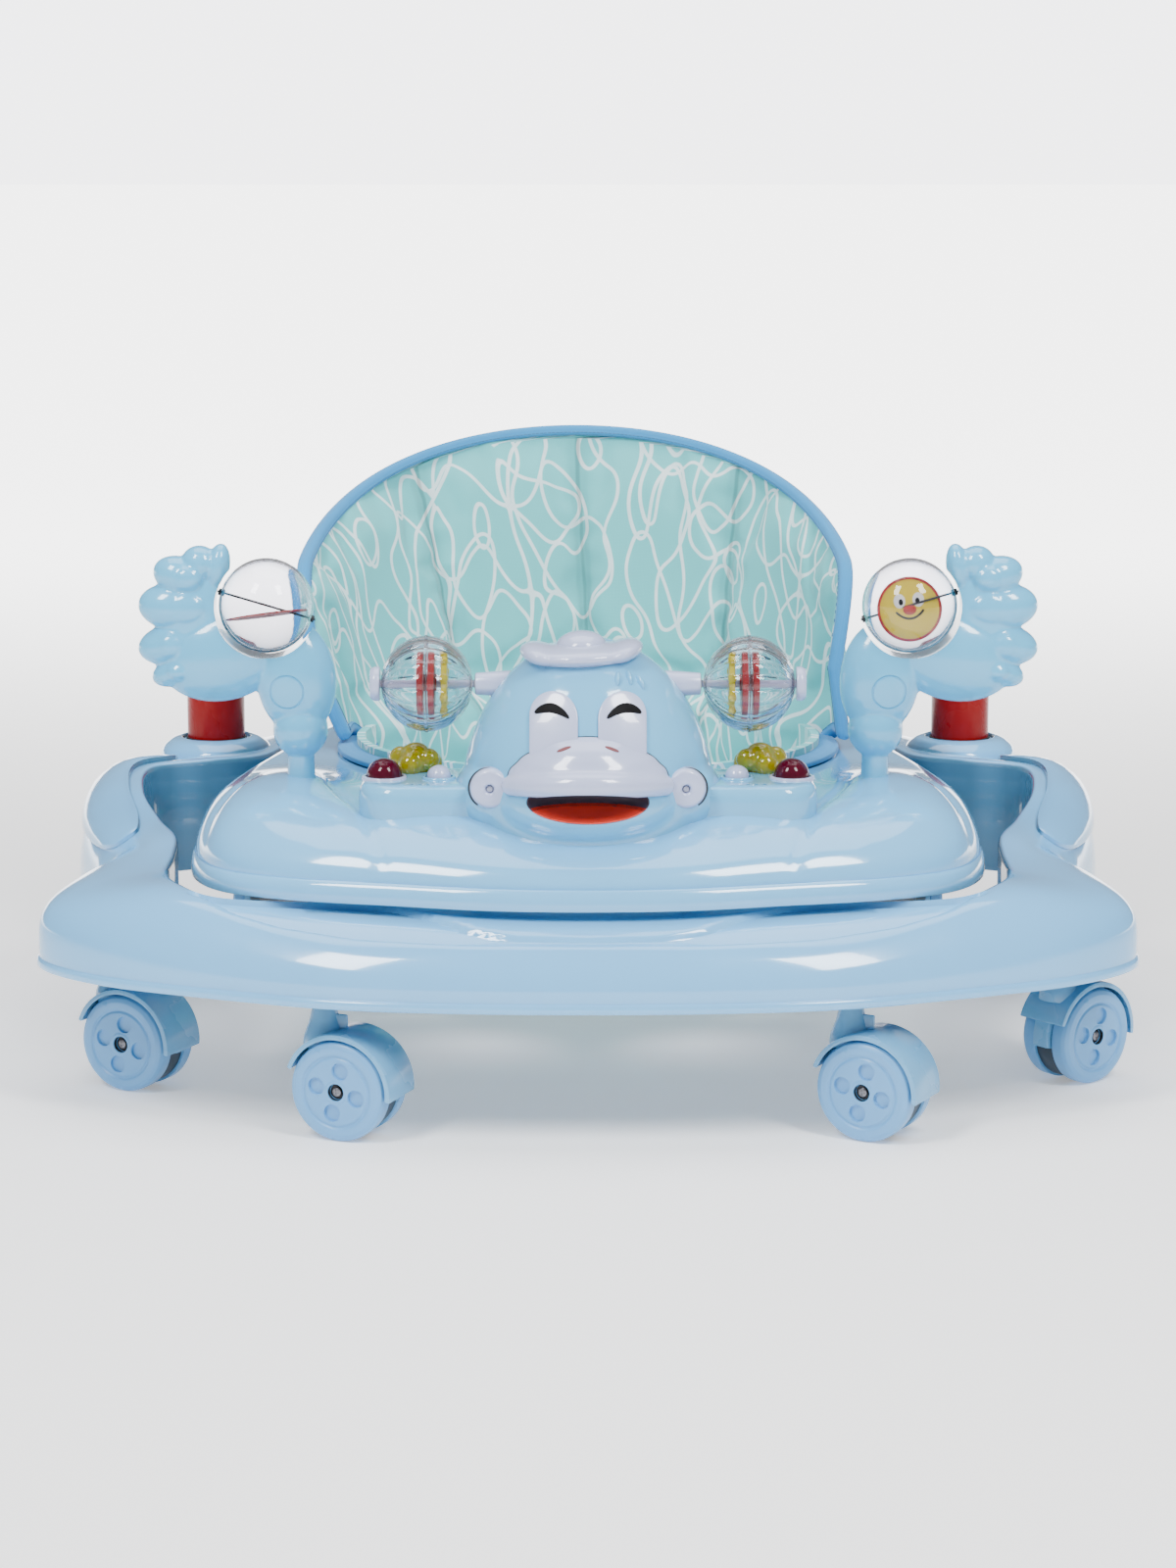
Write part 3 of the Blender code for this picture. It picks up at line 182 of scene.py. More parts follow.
def contour(g, at, scale, offset, level, half_width):
    """1 along one contour of a smooth noise field, as a stroke of even width."""
    step = 0.001

    def field(du, dv):
        moved = g.vector("ADD", at, (offset[0] + du, offset[1] + dv, 0.0))
        return g.noise(1.0, 0.0, g.vector("MULTIPLY", moved, (*scale, 1.0)), flat=True)

    here = field(0.0, 0.0)
    slopes = [g.math("DIVIDE", g.math("SUBTRACT", field(*shift), here), step)
              for shift in ((step, 0.0), (0.0, step))]
    squares = [g.math("MULTIPLY", s, s) for s in slopes]
    slope = g.math("ADD", g.math("SQRT", g.math("ADD", *squares)), 1.2)
    away = g.math("DIVIDE", g.math("ABSOLUTE", g.math("SUBTRACT", here, level)), slope)
    return g.ramp(away, half_width * 1.3, half_width * 0.8, smooth=True)


def woven(name, colour, ink=None, seams=()):
    """Plain-weave cloth on UVs in metres, with a print of loose white loops if ink is given, and painted
    shade along the given seams.
    """
    g = Graph(name)
    uv = g.coords.outputs["UV"]
    threads = [g.add("ShaderNodeTexWave", {"Scale": 330.0, "Distortion": 0.6, "Vector": uv},
                     bands_direction=axis).outputs[1] for axis in ("X", "Y")]
    weave = g.math("MULTIPLY", *threads)
    tint = g.math("ADD", g.math("MULTIPLY", g.noise(16.0, 3.0), 0.7), g.math("MULTIPLY", weave, 0.3))
    ground = g.mix(g.ramp(tint, 0.2, 0.75), rgba(colour, 0.93), rgba(colour, 1.05))
    if ink:
        strokes = contour(g, uv, (31.0, 17.0), (0.31, 0.17), 0.50, 0.00105)
        for scale, offset, level in (((27.0, 14.0), (4.7, 2.9), 0.43), ((34.0, 16.0), (9.1, 6.3), 0.56)):
            strokes = g.math("MAXIMUM", strokes, contour(g, uv, scale, offset, level, 0.00105))
        faded = g.math("MULTIPLY", strokes, g.ramp(g.noise(60.0, 2.0), 0.2, 0.8, 0.62, 0.95))
        ground = g.mix(faded, ground, rgba(ink))
    wrinkle = g.bump(g.noise(70.0, 3.0), 0.0006, 0.35)
    across = g.math("ADD", g.add("ShaderNodeSeparateXYZ", {0: uv}).outputs["X"],
                    g.math("MULTIPLY", g.math("SUBTRACT", g.noise(24.0, 2.0), 0.5), 0.004))
    # Painted shade: the cloth darkens in a narrow line along each seam and a little over the channel beside
    # it, where the fold's shadow falls; a bump goes with it.
    for seam in seams:
        near = g.math("ABSOLUTE", g.math("SUBTRACT", across, seam))
        crease = g.math("MULTIPLY", g.ramp(near, 0.0006, 0.0020, 0.62, 1.0, smooth=True),
                        g.ramp(near, 0.0, 0.012, 0.86, 1.0, smooth=True))
        ground = g.vector("MULTIPLY", ground, crease)
        wrinkle = g.bump(g.ramp(near, 0.0, 0.007, smooth=True), 0.0022, 0.9, wrinkle)
    g.set(Base_Color=ground, Roughness=g.ramp(weave, 0.0, 1.0, 0.92, 0.74),
          Normal=g.bump(weave, 0.00012, 0.5, wrinkle), Sheen_Weight=0.25, Sheen_Roughness=0.5)
    return g.mat


GLOSS = {"Coat_Weight": 0.7, "Coat_Roughness": 0.015}
MATS = {
    # inside=0.25 paints shade on the ring's inward walls, for the shadow in the well.
    "ring": moulded("ring_blue", (0.165, 0.480, 0.830), inside=0.25, **GLOSS),
    "tray": moulded("tray_blue", (0.160, 0.485, 0.810), **GLOSS),
    "toy": moulded("toy_blue", (0.138, 0.470, 0.755), **GLOSS),
    "hand": moulded("hand_blue", (0.100, 0.465, 0.750), 0.17, **GLOSS),
    "white": moulded("lavender_white", (0.440, 0.495, 0.710), 0.2, **GLOSS),
    "cream": moulded("cream", (0.74, 0.67, 0.62), 0.38),
    "red": moulded("post_red", (0.29, 0.003, 0.003), 0.28, Specular_IOR_Level=0.25),
    "mouth": moulded("mouth_red", (0.74, 0.045, 0.022), 0.36),
    # Painted shade: dark colour for the mouth's roof, in place of its shadow.
    "mouth_shade": moulded("mouth_shade", (0.035, 0.028, 0.045), 0.5),
    "nostril": moulded("nostril_red", (0.16, 0.035, 0.04), 0.5),
    "maroon": moulded("button_maroon", (0.060, 0.001, 0.010), 0.10, Specular_IOR_Level=0.30),
    "olive": moulded("lens_olive", (0.40, 0.345, 0.0005), 0.10, Transmission_Weight=0.35,
                     Subsurface_Weight=0.2, Coat_Weight=0.6),
    "black": moulded("ink_black", (0.003, 0.003, 0.004), 0.7, Specular_IOR_Level=0.15),
    "screw_hole": moulded("screw_hole", (0.30, 0.32, 0.42), 0.4),
    "fork": moulded("fork_blue", (0.135, 0.385, 0.640), 0.26, Coat_Weight=0.2),
    "wheel": moulded("wheel_blue", (0.125, 0.370, 0.690), 0.34, Coat_Weight=0.1),
    "core": moulded("wheel_core", (0.012, 0.030, 0.050), 0.5),
    # The dark collar plastic also serves as painted shade in the bill's gap and seam, the speaker holes and
    # the hub recesses.
    "collar": moulded("dark_collar", (0.016, 0.018, 0.024), 0.45),
    "dark_steel": moulded("dark_steel", (0.20, 0.20, 0.22), 0.30, Metallic=1.0),
    "steel": moulded("steel", (0.52, 0.52, 0.54), 0.28, Metallic=1.0),
    "clear": moulded("clear_plastic", (0.93, 0.93, 0.97), 0.03, 0.01, Transmission_Weight=1.0, IOR=1.42),
    "rattle_red": moulded("rattle_red", (0.36, 0.012, 0.014), 0.3),
    "rattle_yellow": moulded("rattle_yellow", (0.66, 0.56, 0.01), 0.3),
    "card": moulded("card_yellow", (0.70, 0.52, 0.02), 0.5),
    "card_edge": moulded("card_red", (0.42, 0.020, 0.014), 0.5),
    "card_white": moulded("card_white", (0.85, 0.84, 0.80), 0.5),
    "fabric": woven("printed_fabric", (0.130, 0.565, 0.580), (0.86, 0.92, 0.93),
                    [seam * BACK_HALF_ANGLE * BACK_CLOTH_R for seam in SEAMS]),
    "binding": woven("binding_blue", (0.020, 0.270, 0.590)),
    "thread": moulded("thread", (0.05, 0.17, 0.34), 0.7),
}


# ---------------------------------------------------------------- shapes
def grid_faces(nu, nv, wrap_u=False, wrap_v=False):
    i = np.arange(nu if wrap_u else nu - 1)[:, None]
    j = np.arange(nv if wrap_v else nv - 1)[None, :]
    k, m = (i + 1) % nu, (j + 1) % nv
    return np.stack([i * nv + j, k * nv + j, k * nv + m, i * nv + m], -1).reshape(-1, 4)


def sheet_shape(grid, wrap_u=False, wrap_v=False):
    grid = np.asarray(grid, float)
    return grid.reshape(-1, 3), grid_faces(*grid.shape[:2], wrap_u, wrap_v).tolist()


def join(*shapes):
    points, faces, start = [], [], 0
    for vertices, polygons in shapes:
        points.append(np.asarray(vertices, float))
        faces += [[start + v for v in polygon] for polygon in polygons]
        start += len(vertices)
    return np.concatenate(points), faces


def moved(shape, matrix):
    points, faces = shape
    turn = np.array(matrix, float)
    return points @ turn[:3, :3].T + turn[:3, 3], faces


def soften(points, radius, closed=False, steps=3):
    """Round the corners of a polyline."""
    points = [Vector(p) for p in points]
    count, result = len(points), []
    for i, corner in enumerate(points):
        if not closed and i in (0, count - 1):
            result.append(tuple(corner))
            continue
        before, after = points[i - 1] - corner, points[(i + 1) % count] - corner
        cut = min(radius, before.length * 0.45, after.length * 0.45)
        if cut < 1e-7:
            result.append(tuple(corner))
            continue
        a, b = corner + before.normalized() * cut, corner + after.normalized() * cut
        for s in range(steps + 1):
            t = s / steps
            result.append(tuple(a * (1 - t) ** 2 + corner * 2 * t * (1 - t) + b * t ** 2))
    return result


def lathe(profile, matrix=None, segments=64, closed=False, ribs=0, rib_depth=0.0):
    """Turn (radius, height) points round local Z."""
    profile = np.asarray(profile, float)
    angle = np.arange(segments) / segments * TURN
    swell = 1 + rib_depth * np.abs(np.cos(angle * ribs / 2)) ** 0.6 if ribs else np.ones(segments)
    radius = profile[:, :1] * swell
    grid = np.stack([radius * np.cos(angle), radius * np.sin(angle),
                     np.broadcast_to(profile[:, 1:2], radius.shape)], -1)
    shape = sheet_shape(grid, closed, True)
    return moved(shape, matrix) if matrix is not None else shape


def turned(profile, soft, place=None, segments=64, closed=False, steps=3):
    """Lathe of a profile with softened corners."""
    return lathe(soften(profile, soft, closed, steps), place, segments, closed)


def oblong(a, b, low, high):
    """Corners of a rectangle, as a profile or a section."""
    return [(a, low), (b, low), (b, high), (a, high)]


def hollow_ball(radius, wall, hole, centre, steps):
    """Profile of a thin ball that is centred on its axis, with a hole at each pole."""
    start = math.asin(hole / radius)
    a = np.linspace(start, math.pi - start, steps)
    skin, lining = [np.column_stack([r * np.sin(a), centre - r * np.cos(a)])
                    for r in (radius, radius - wall)]
    return np.concatenate([skin, lining[::-1]])


def ball(centre, radii, tilt=0.0, segments=64):
    """Ellipsoid; tilt turns it about Y, in degrees."""
    a = np.linspace(0, math.pi, segments // 2 + 1)
    place = (Matrix.Translation(centre) @ Matrix.Rotation(math.radians(tilt), 4, "Y")
             @ Matrix.Diagonal((*radii, 1.0)))
    return lathe(np.stack([np.sin(a), -np.cos(a)], -1), place, segments)


def along(start, end):
    """Matrix that lays local Z from start towards end."""
    span = Vector(end) - Vector(start)
    turn = Vector((0, 0, 1)).rotation_difference(span.normalized()).to_matrix().to_4x4()
    return Matrix.Translation(start) @ turn, span.length


def rod(start, end, radius, edge=0.0006, segments=48):
    place, length = along(start, end)
    return turned(oblong(0, radius, 0, length), edge, place, segments)


def capsule(start, end, radius, segments=16):
    place, length = along(start, end)
    a = np.linspace(0, math.pi / 2, 6)
    low = np.stack([np.sin(a), -np.cos(a)], -1) * radius
    high = np.stack([np.cos(a), np.sin(a)], -1) * radius + (0.0, length)
    return lathe(np.concatenate([low, high]), place, segments)


def chain(points, radius, segments):
    """Capsules along a row of points."""
    return [capsule(a, b, radius, segments) for a, b in zip(points[:-1], points[1:])]


def prism(outline, low, high, edge=0.0008):
    """Extrude (y, z) points along X, with softened rims."""
    outline = np.asarray(outline, float)
    away = outline - outline.mean(0)
    away /= np.linalg.norm(away, axis=1, keepdims=True)
    sections = []
    for x, shrink in ((low, edge), (low + edge * 0.3, edge * 0.3), (low + edge, 0.0),
                      (high - edge, 0.0), (high - edge * 0.3, edge * 0.3), (high, edge)):
        ring = outline - away * shrink
        sections.append(np.column_stack([np.full(len(ring), x), ring]))
    points, faces = sheet_shape(sections, False, True)
    count = len(outline)
    faces += [list(range(count)), list(range(len(points) - count, len(points)))]
    return points, faces


def block(low, high, edge=0.0012):
    """Box with softened edges."""
    bm = bmesh.new()
    bmesh.ops.create_cube(bm, size=1.0)
    low, high = Vector(map(min, low, high)), Vector(map(max, low, high))
    bm.transform(Matrix.Translation((low + high) / 2) @ Matrix.Diagonal((*(high - low), 1.0)))
    bmesh.ops.bevel(bm, geom=bm.edges[:], offset=edge, segments=2, profile=0.6, affect="EDGES")
    bm.verts.ensure_lookup_table()
    shape = (np.array([v.co for v in bm.verts]), [[v.index for v in f.verts] for f in bm.faces])
    bm.free()
    return shape


def tube(path, section, closed, side, up):
    """Sweep (side, up) offsets along path points with a side and an up direction at each."""
    path, side, up = (np.asarray(v, float)[:, None, :] for v in (path, side, up))
    section = np.asarray(section, float)
    grid = path + side * section[None, :, :1] + up * section[None, :, 1:2]
    return sheet_shape(grid, closed, True)


# ---------------------------------------------------------------- objects
def build(name, shape, mat, sharp=38.0, uv=None):
    """Linked, welded and smooth-shaded object of a shape."""
    points, faces = shape
    mesh = bpy.data.meshes.new(name)
    mesh.from_pydata([tuple(p) for p in points], [], faces)
    if uv is not None:
        layer = mesh.uv_layers.new(name="metres")
        index = np.empty(len(mesh.loops), np.int64)
        mesh.loops.foreach_get("vertex_index", index)
        layer.data.foreach_set("uv", np.asarray(uv, np.float32).reshape(-1, 2)[index].ravel())
    bm = bmesh.new()
    bm.from_mesh(mesh)
    bmesh.ops.remove_doubles(bm, verts=bm.verts, dist=1e-6)
    bmesh.ops.recalc_face_normals(bm, faces=bm.faces)
    bm.to_mesh(mesh)
    bm.free()
    obj = bpy.data.objects.new(name, mesh)
    bpy.context.scene.collection.objects.link(obj)
    mesh.materials.append(mat)
    shade(mesh, sharp)
    return obj


def shade(mesh, sharp):
    mesh.shade_smooth()
    mesh.set_sharp_from_angle(angle=math.radians(sharp))


def bake(obj, sharp=38.0):
    """Replace an object's mesh by what its modifiers make of it."""
    bpy.context.view_layer.update()
    evaluated = obj.evaluated_get(bpy.context.evaluated_depsgraph_get())
    mesh = bpy.data.meshes.new_from_object(evaluated)
    obj.modifiers.clear()
    obj.data = mesh
    shade(mesh, sharp)
    return obj


def merged(name, shapes, mat, voxel=0.0016, relax=6, sharp=180.0):
    """One continuous skin over overlapping shapes."""
    obj = build(name, join(*shapes), mat)
    remesh = obj.modifiers.new("skin", "REMESH")
    remesh.mode, remesh.voxel_size = "VOXEL", voxel
    relaxing = obj.modifiers.new("relax", "SMOOTH")
    relaxing.factor, relaxing.iterations = 0.5, relax
    bake(obj, sharp)
    if not obj.data.materials:
        obj.data.materials.append(mat)
    return obj


def boolean(obj, other, operation, sharp):
    """Combine an object with another one."""
    carve = obj.modifiers.new("carve", "BOOLEAN")
    carve.operation, carve.solver, carve.object = operation, "EXACT", other
    bake(obj, sharp)


def cut(obj, *shapes, sharp=38.0):
    """Carve shapes out of an object."""
    for shape in shapes:
        tool = build("tool", shape, obj.data.materials[0])
        boolean(obj, tool, "DIFFERENCE", sharp)
        bpy.data.objects.remove(tool)


def attach(obj, body, slot, *nodes):
    """Let a piece ride on a body, and hide the CAD nodes that it stands for."""
    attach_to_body(obj, body)
    if nodes:
        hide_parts(*nodes)


def fit(name, shape, mat, body, slot, *nodes, sharp=38.0, uv=None):
    """Build a piece and attach it."""
    attach(build(name, shape, MATS[mat], sharp, uv), body, slot, *nodes)


def surface(obj):
    """Tree of an object's faces, to find points on it."""
    return BVHTree.FromPolygons([v.co for v in obj.data.vertices],
                                [p.vertices for p in obj.data.polygons])


def project(tree, x, z):
    """Where a ray from the front meets a surface, and the normal there."""
    spot, normal, _, _ = tree.ray_cast(Vector((x, -1, z)), Vector((0, 1, 0)))
    return spot, normal


def lying(spot, normal, up):
    """Placement at a spot, with the shape's own up turned to the normal there."""
    return Matrix.Translation(spot) @ Vector(up).rotation_difference(normal).to_matrix().to_4x4()


def away_from_middle(loop):
    """Directions from the middle of a loop to its points."""
    away = loop - loop.mean(0)
    return away / np.linalg.norm(away, axis=1, keepdims=True)


def inlay(grid, tree, lifts):
    """Lay a grid of (x, z) points on a surface seen from the front."""
    grid = np.asarray(grid, float)
    result = np.zeros((*grid.shape[:2], 3))
    for i, row in enumerate(grid):
        for j, (x, z) in enumerate(row):
            spot, normal = project(tree, x, z)
            if normal.y > 0:
                normal = -normal
            result[i, j] = spot + normal * lifts[i][j]
    return result


# ---------------------------------------------------------------- base ring
def smooth_loop(half, x_columns, per_segment):
    """Closed Catmull-Rom loop through a right half and its mirror image."""
    rows = np.asarray(half, float)
    mirror = rows[-2:0:-1].copy()
    mirror[:, list(x_columns)] *= -1
    rows = np.concatenate([rows, mirror])
    a, b, c, d = (np.roll(rows, shift, axis=0)[:, None, :] for shift in (1, 0, -1, -2))
    t = (np.arange(per_segment) / per_segment)[None, :, None]
    curve = 0.5 * (2 * b + (c - a) * t + (2 * a - 5 * b + 4 * c - d) * t ** 2
                   + (3 * b - a - 3 * c + d) * t ** 3)
    return curve.reshape(-1, rows.shape[1])


def step_at(value, middle, width):
    """0 below middle, 1 above it, with a smooth rise of that width."""
    t = np.clip((value - middle) / width + 0.5, 0, 1)
    return t * t * (3 - 2 * t)


def swoosh(x, y, degrees):
    """Sculpted leaf on the ring's front: a shallow band that narrows to the middle."""
    x = abs(x)
    lower = np.interp(x, (0, 0.065, 0.142, 0.189, 0.22, 0.25), (46, 46, 48, 55, 66, 86))
    upper = np.interp(x, (0, 0.047, 0.0725, 0.097, 0.12, 0.138), (49, 51, 58, 75, 84, 94))
    depth = 0.0008 + 0.0042 * np.clip((upper - lower) / 14, 0, 1)
    band = step_at(degrees, lower, 7.0) * (1 - step_at(degrees, upper, 4.5))
    return np.where((y < -0.2) & (x < 0.27), -depth * band, 0.0)


def ring_point(rows, degrees, lift):
    """Points of the ring's crown at an angle of its shoulder, raised by lift."""
    outer, inner = rows[:, :2], rows[:, 2:4]
    width = np.linalg.norm(inner - outer, axis=1)
    a = np.radians(degrees)
    inset = (width - 0.004) * (1 - np.cos(a)) - lift * np.cos(a)
    height = RING_SHOULDER + (rows[:, 4] - RING_SHOULDER) * np.sin(a) ** rows[:, 5] + lift * np.sin(a)
    return np.column_stack([outer + (inner - outer) / width[:, None] * inset[:, None], height])


def base_ring():
    rows = smooth_loop(RING_STATIONS, (0, 2), RING_ROWS)
    outer, inner = rows[:, :2], rows[:, 2:4]
    width = np.linalg.norm(inner - outer, axis=1)
    across = (inner - outer) / width[:, None]

    def at(inset, height):
        inset, height = np.broadcast_to(inset, width.shape), np.broadcast_to(height, width.shape)
        return np.column_stack([outer + across * inset[:, None], height])

    columns = [at(i, z) for i, z in ((0.0030, 0.0853), (0.0006, 0.0850), (-0.0006, 0.0851),
                                     (-0.0013, 0.0859), (-0.0015, 0.0880), (-0.0013, 0.0901),
                                     (-0.0004, 0.0908), (0.0004, 0.0913), (0.0002, 0.0925),
                                     (0.0, 0.0950))]
    for degrees in np.linspace(0, 90, 46):
        columns.append(ring_point(rows, degrees, swoosh(outer[:, 0], outer[:, 1], degrees)))
    crown = rows[:, 4]
    for degrees in (30, 60, 90):
        a = math.radians(degrees)
        columns.append(at(width - 0.004 + 0.004 * math.sin(a), crown - 0.004 + 0.004 * math.cos(a)))
    columns += [at(width, 0.5 * crown + 0.046), at(width + 0.0006, 0.0930), at(width, 0.0920),
                at(width - RING_WALL, 0.0920), at(width - RING_WALL, crown - 0.008)]
    for degrees in np.linspace(84, 0, 9):
        columns.append(ring_point(rows, degrees, -RING_WALL))
    fit("ring_skin", sheet_shape(np.stack(columns, 1), True, True), "ring", "base", "ring_plastic",
        "base_ring", sharp=50)
    boss = [(0.0, 0.122), (0.0115, 0.122), (0.0115, 0.0865), (0.0060, 0.0865), (0.0060, 0.116),
            (0.0, 0.116)]
    for name, x, y, _ in CASTERS:
        fit("stem_boss_" + name, turned(boss, 0.0008, Matrix.Translation((x, y, 0.0)), 40), "ring",
            "base", "ring_plastic")


def side_pad(side, sign):
    """Domed pad with a crisp rim on the ring's shoulder."""
    rows = smooth_loop(RING_STATIONS, (0, 2), RING_ROWS)
    around = np.arange(72) / 72 * TURN
    centre_row, half_rows = 112, 22.0
    grid = []
    for reach, lift in ((1.0, 0.0002), (1.0, 0.0026), (0.985, 0.0034), (0.955, 0.0037),
                        (0.90, 0.0046), (0.78, 0.0058), (0.62, 0.0069), (0.42, 0.0077),
                        (0.2, 0.0082), (0.0, 0.0083)):
        ring = []
        for a in around:
            squircle = (abs(math.cos(a)) ** 3.2 + abs(math.sin(a)) ** 3.2) ** (-1 / 3.2)
            u = centre_row + half_rows * reach * squircle * math.cos(a)
            narrow = 10.0 * ((u - centre_row) / half_rows) ** 2
            middle, half = 54.0 + narrow * 0.3, 27.0 - narrow * 0.7
            degrees = middle + half * reach * squircle * math.sin(a)
            k = int(u)
            row = rows[k:k + 1] * (1 - (u - k)) + rows[k + 1:k + 2] * (u - k)
            point = ring_point(row, degrees, lift)[0]
            ring.append((sign * point[0], point[1], point[2]))
        grid.append(ring)
    fit("side_pad_skin_" + side, sheet_shape(grid, False, True), "ring", "base", "ring_plastic",
        "side_pad_" + side, sharp=40)


def handle_socket(side, sign):
    place = Matrix.Translation((sign * POST_X, POST_Y, 0.0))
    mount = [(0.0405, 0.135), (0.0405, 0.158), (0.0385, 0.166), (0.031, 0.1718), (0.0245, 0.1732),
             (0.0238, 0.1700), (0.0215, 0.1700), (0.0, 0.1700)]
    fit("socket_skin_" + side, turned(mount, 0.004, place, 96, steps=5), "ring", "base", "ring_plastic",
        "socket_block_" + side)
    bore = POST_R - 0.004
    sleeve = [(0.0, 0.1703), (POST_R, 0.1703), (POST_R, 0.216), (bore, 0.216), (bore, 0.176), (0.0, 0.176)]
    fit("post_skin_" + side, turned(sleeve, 0.0007, place, 96), "red", "base", "red_plastic",
        "red_post_" + side)
    seal = [(0.0203, 0.1705), (0.0216, 0.1705), (0.0216, 0.1724), (0.0203, 0.1727)]
    fit("post_seal_" + side, turned(seal, 0.0006, place, 96, True), "collar", "base", "red_plastic")


# ---------------------------------------------------------------- casters
def arc(centre, radius, start, end, steps):
    a = np.radians(np.linspace(start, end, steps + 1))
    return np.column_stack([centre[0] + radius * np.cos(a), centre[1] + radius * np.sin(a)])


def fork_shape():
    """Fork about the axle: local X is the axle, the stem stands at Y = TRAIL."""
    web = np.concatenate([arc((0, 0), 0.0338, -8, 188, 40), [(-0.012, -0.010), (0.012, -0.010)]])
    hood = soften(np.concatenate([arc((0, 0), 0.0354, 20, 186, 40), arc((0, 0), 0.0330, 186, 20, 40)]),
                  0.0008, True)
    stem = [(0.0, 0.024), (0.0135, 0.024), (0.0128, 0.030), (0.0092, 0.040), (0.0074, 0.0475),
            (0.0074, 0.0502), (0.0055, 0.0506), (0.0055, STEM_TOP - WHEEL_R), (0.0, STEM_TOP - WHEEL_R)]
    place = Matrix.Translation((0, TRAIL, 0))
    rib = block((-0.0014, TRAIL - 0.0155, 0.024), (0.0014, TRAIL, 0.0440))
    return join(prism(web, -0.0060, 0.0060), prism(hood, -0.0183, 0.0183),
                turned(stem, 0.0012, place, 40), rib)


def wheel_shapes():
    """Twin discs with rim rings, the screws in their hubs, and the round recesses to cut from them."""
    half, inner = WHEEL_HALF_WIDTH, WHEEL_INNER
    discs, hubs, holes = [], [], []
    disc = [(0.0, inner), (WHEEL_R, inner), (WHEEL_R, half - 0.0036), (WHEEL_R - 0.0012, half - 0.0012),
            (0.0272, half), (0.0232, half), (0.0222, half - 0.0010), (0.0214, half - 0.0010),
            (0.0204, half - 0.0002), (0.0076, half - 0.0002), (0.0066, half + 0.0002),
            (0.0052, half + 0.0002), (0.0048, half - 0.0030), (0.0, half - 0.0030)]
    hub = [(0.0, half - 0.0029), (0.0030, half - 0.0029), (0.0030, half - 0.0014), (0.0, half - 0.0010)]
    hole = [(0.0, half - 0.0024), (0.0052, half - 0.0024), (0.0056, half + 0.002), (0.0, half + 0.002)]
    for s in (-1, 1):
        face = Matrix.Rotation(s * math.pi / 2, 4, "Y")
        discs.append(turned(disc, 0.0005, face, 72, steps=2))
        hubs.append(turned(hub, 0.0005, face, 32))
        for k in range(4):
            a = math.radians(12 + 90 * k)
            spot = Matrix.Translation((0, 0.0134 * math.cos(a), 0.0134 * math.sin(a))) @ face
            holes.append(lathe(hole, spot, 40))
    return discs, hubs, holes


def casters():
    """Six casters that share the meshes of one pattern."""
    discs, hubs, holes = wheel_shapes()
    axles = [Matrix.Rotation(s * math.pi / 2, 4, "Y") for s in (-1, 1)]
    fork = build("fork_pattern", fork_shape(), MATS["fork"], 32)
    wheel = build("wheel_pattern", join(*discs), MATS["wheel"], 32)
    cut(wheel, *holes, sharp=32)
    spool = [(0.003, -0.0062), (0.0295, -0.0074), (0.0295, 0.0074), (0.003, 0.0062)]
    core = build("core_pattern", turned(spool, 0.0006, axles[1], 48, True), MATS["core"])
    screw = build("screw_pattern", join(*hubs), MATS["dark_steel"])
    slots = []
    for s in (-1, 1):
        x = s * (WHEEL_HALF_WIDTH - 0.0008)
        for y, z in ((0.0022, 0.00045), (0.00045, 0.0022)):
            slots.append(block((x - 0.0009, -y, -z), (x + 0.0009, y, z), 0.0001))
    cut(screw, *slots)
    # Painted shade: a dark cup lining the recess round each hub screw.
    floor = WHEEL_HALF_WIDTH - 0.0029
    hub_shade_cup = [(0.0048, WHEEL_HALF_WIDTH + 0.0001), (0.0049, floor), (0.0, floor)]
    well = build("well_pattern", join(*[lathe(hub_shade_cup, axle, 32) for axle in axles]), MATS["collar"])
    band = [(0.0058, 0.0500), (0.0090, 0.0500), (0.0098, 0.0550), (0.0058, 0.0556)]
    collar = build("collar_pattern", turned(band, 0.0008, Matrix.Translation((0, TRAIL, 0)), 40, True),
                   MATS["collar"])
    # Mesh, body, slot, and whether it stands for the body's CAD node.
    pieces = [(fork, "caster_fork_", "fork_plastic", True),
              (collar, "caster_fork_", "fork_plastic", False),
              (wheel, "caster_wheels_", "wheel_plastic", True),
              (core, "caster_wheels_", "wheel_plastic", False),
              (well, "caster_wheels_", "wheel_plastic", False),
              (screw, "caster_wheels_", "steel", False)]
    for name, x, y, trail in CASTERS:
        place = (Matrix.Translation((x, y, 0)) @ Matrix.Rotation(math.radians(trail), 4, "Z")
                 @ Matrix.Translation((TRAIL, 0, WHEEL_R)) @ Matrix.Rotation(math.pi / 2, 4, "Z"))
        for pattern, body, slot, whole in pieces:
            obj = bpy.data.objects.new(pattern.name.replace("pattern", name), pattern.data)
            bpy.context.scene.collection.objects.link(obj)
            obj.matrix_world = place
            attach(obj, body + name, slot, *([body + name] if whole else []))
    for pattern, *_ in pieces:
        bpy.data.objects.remove(pattern)


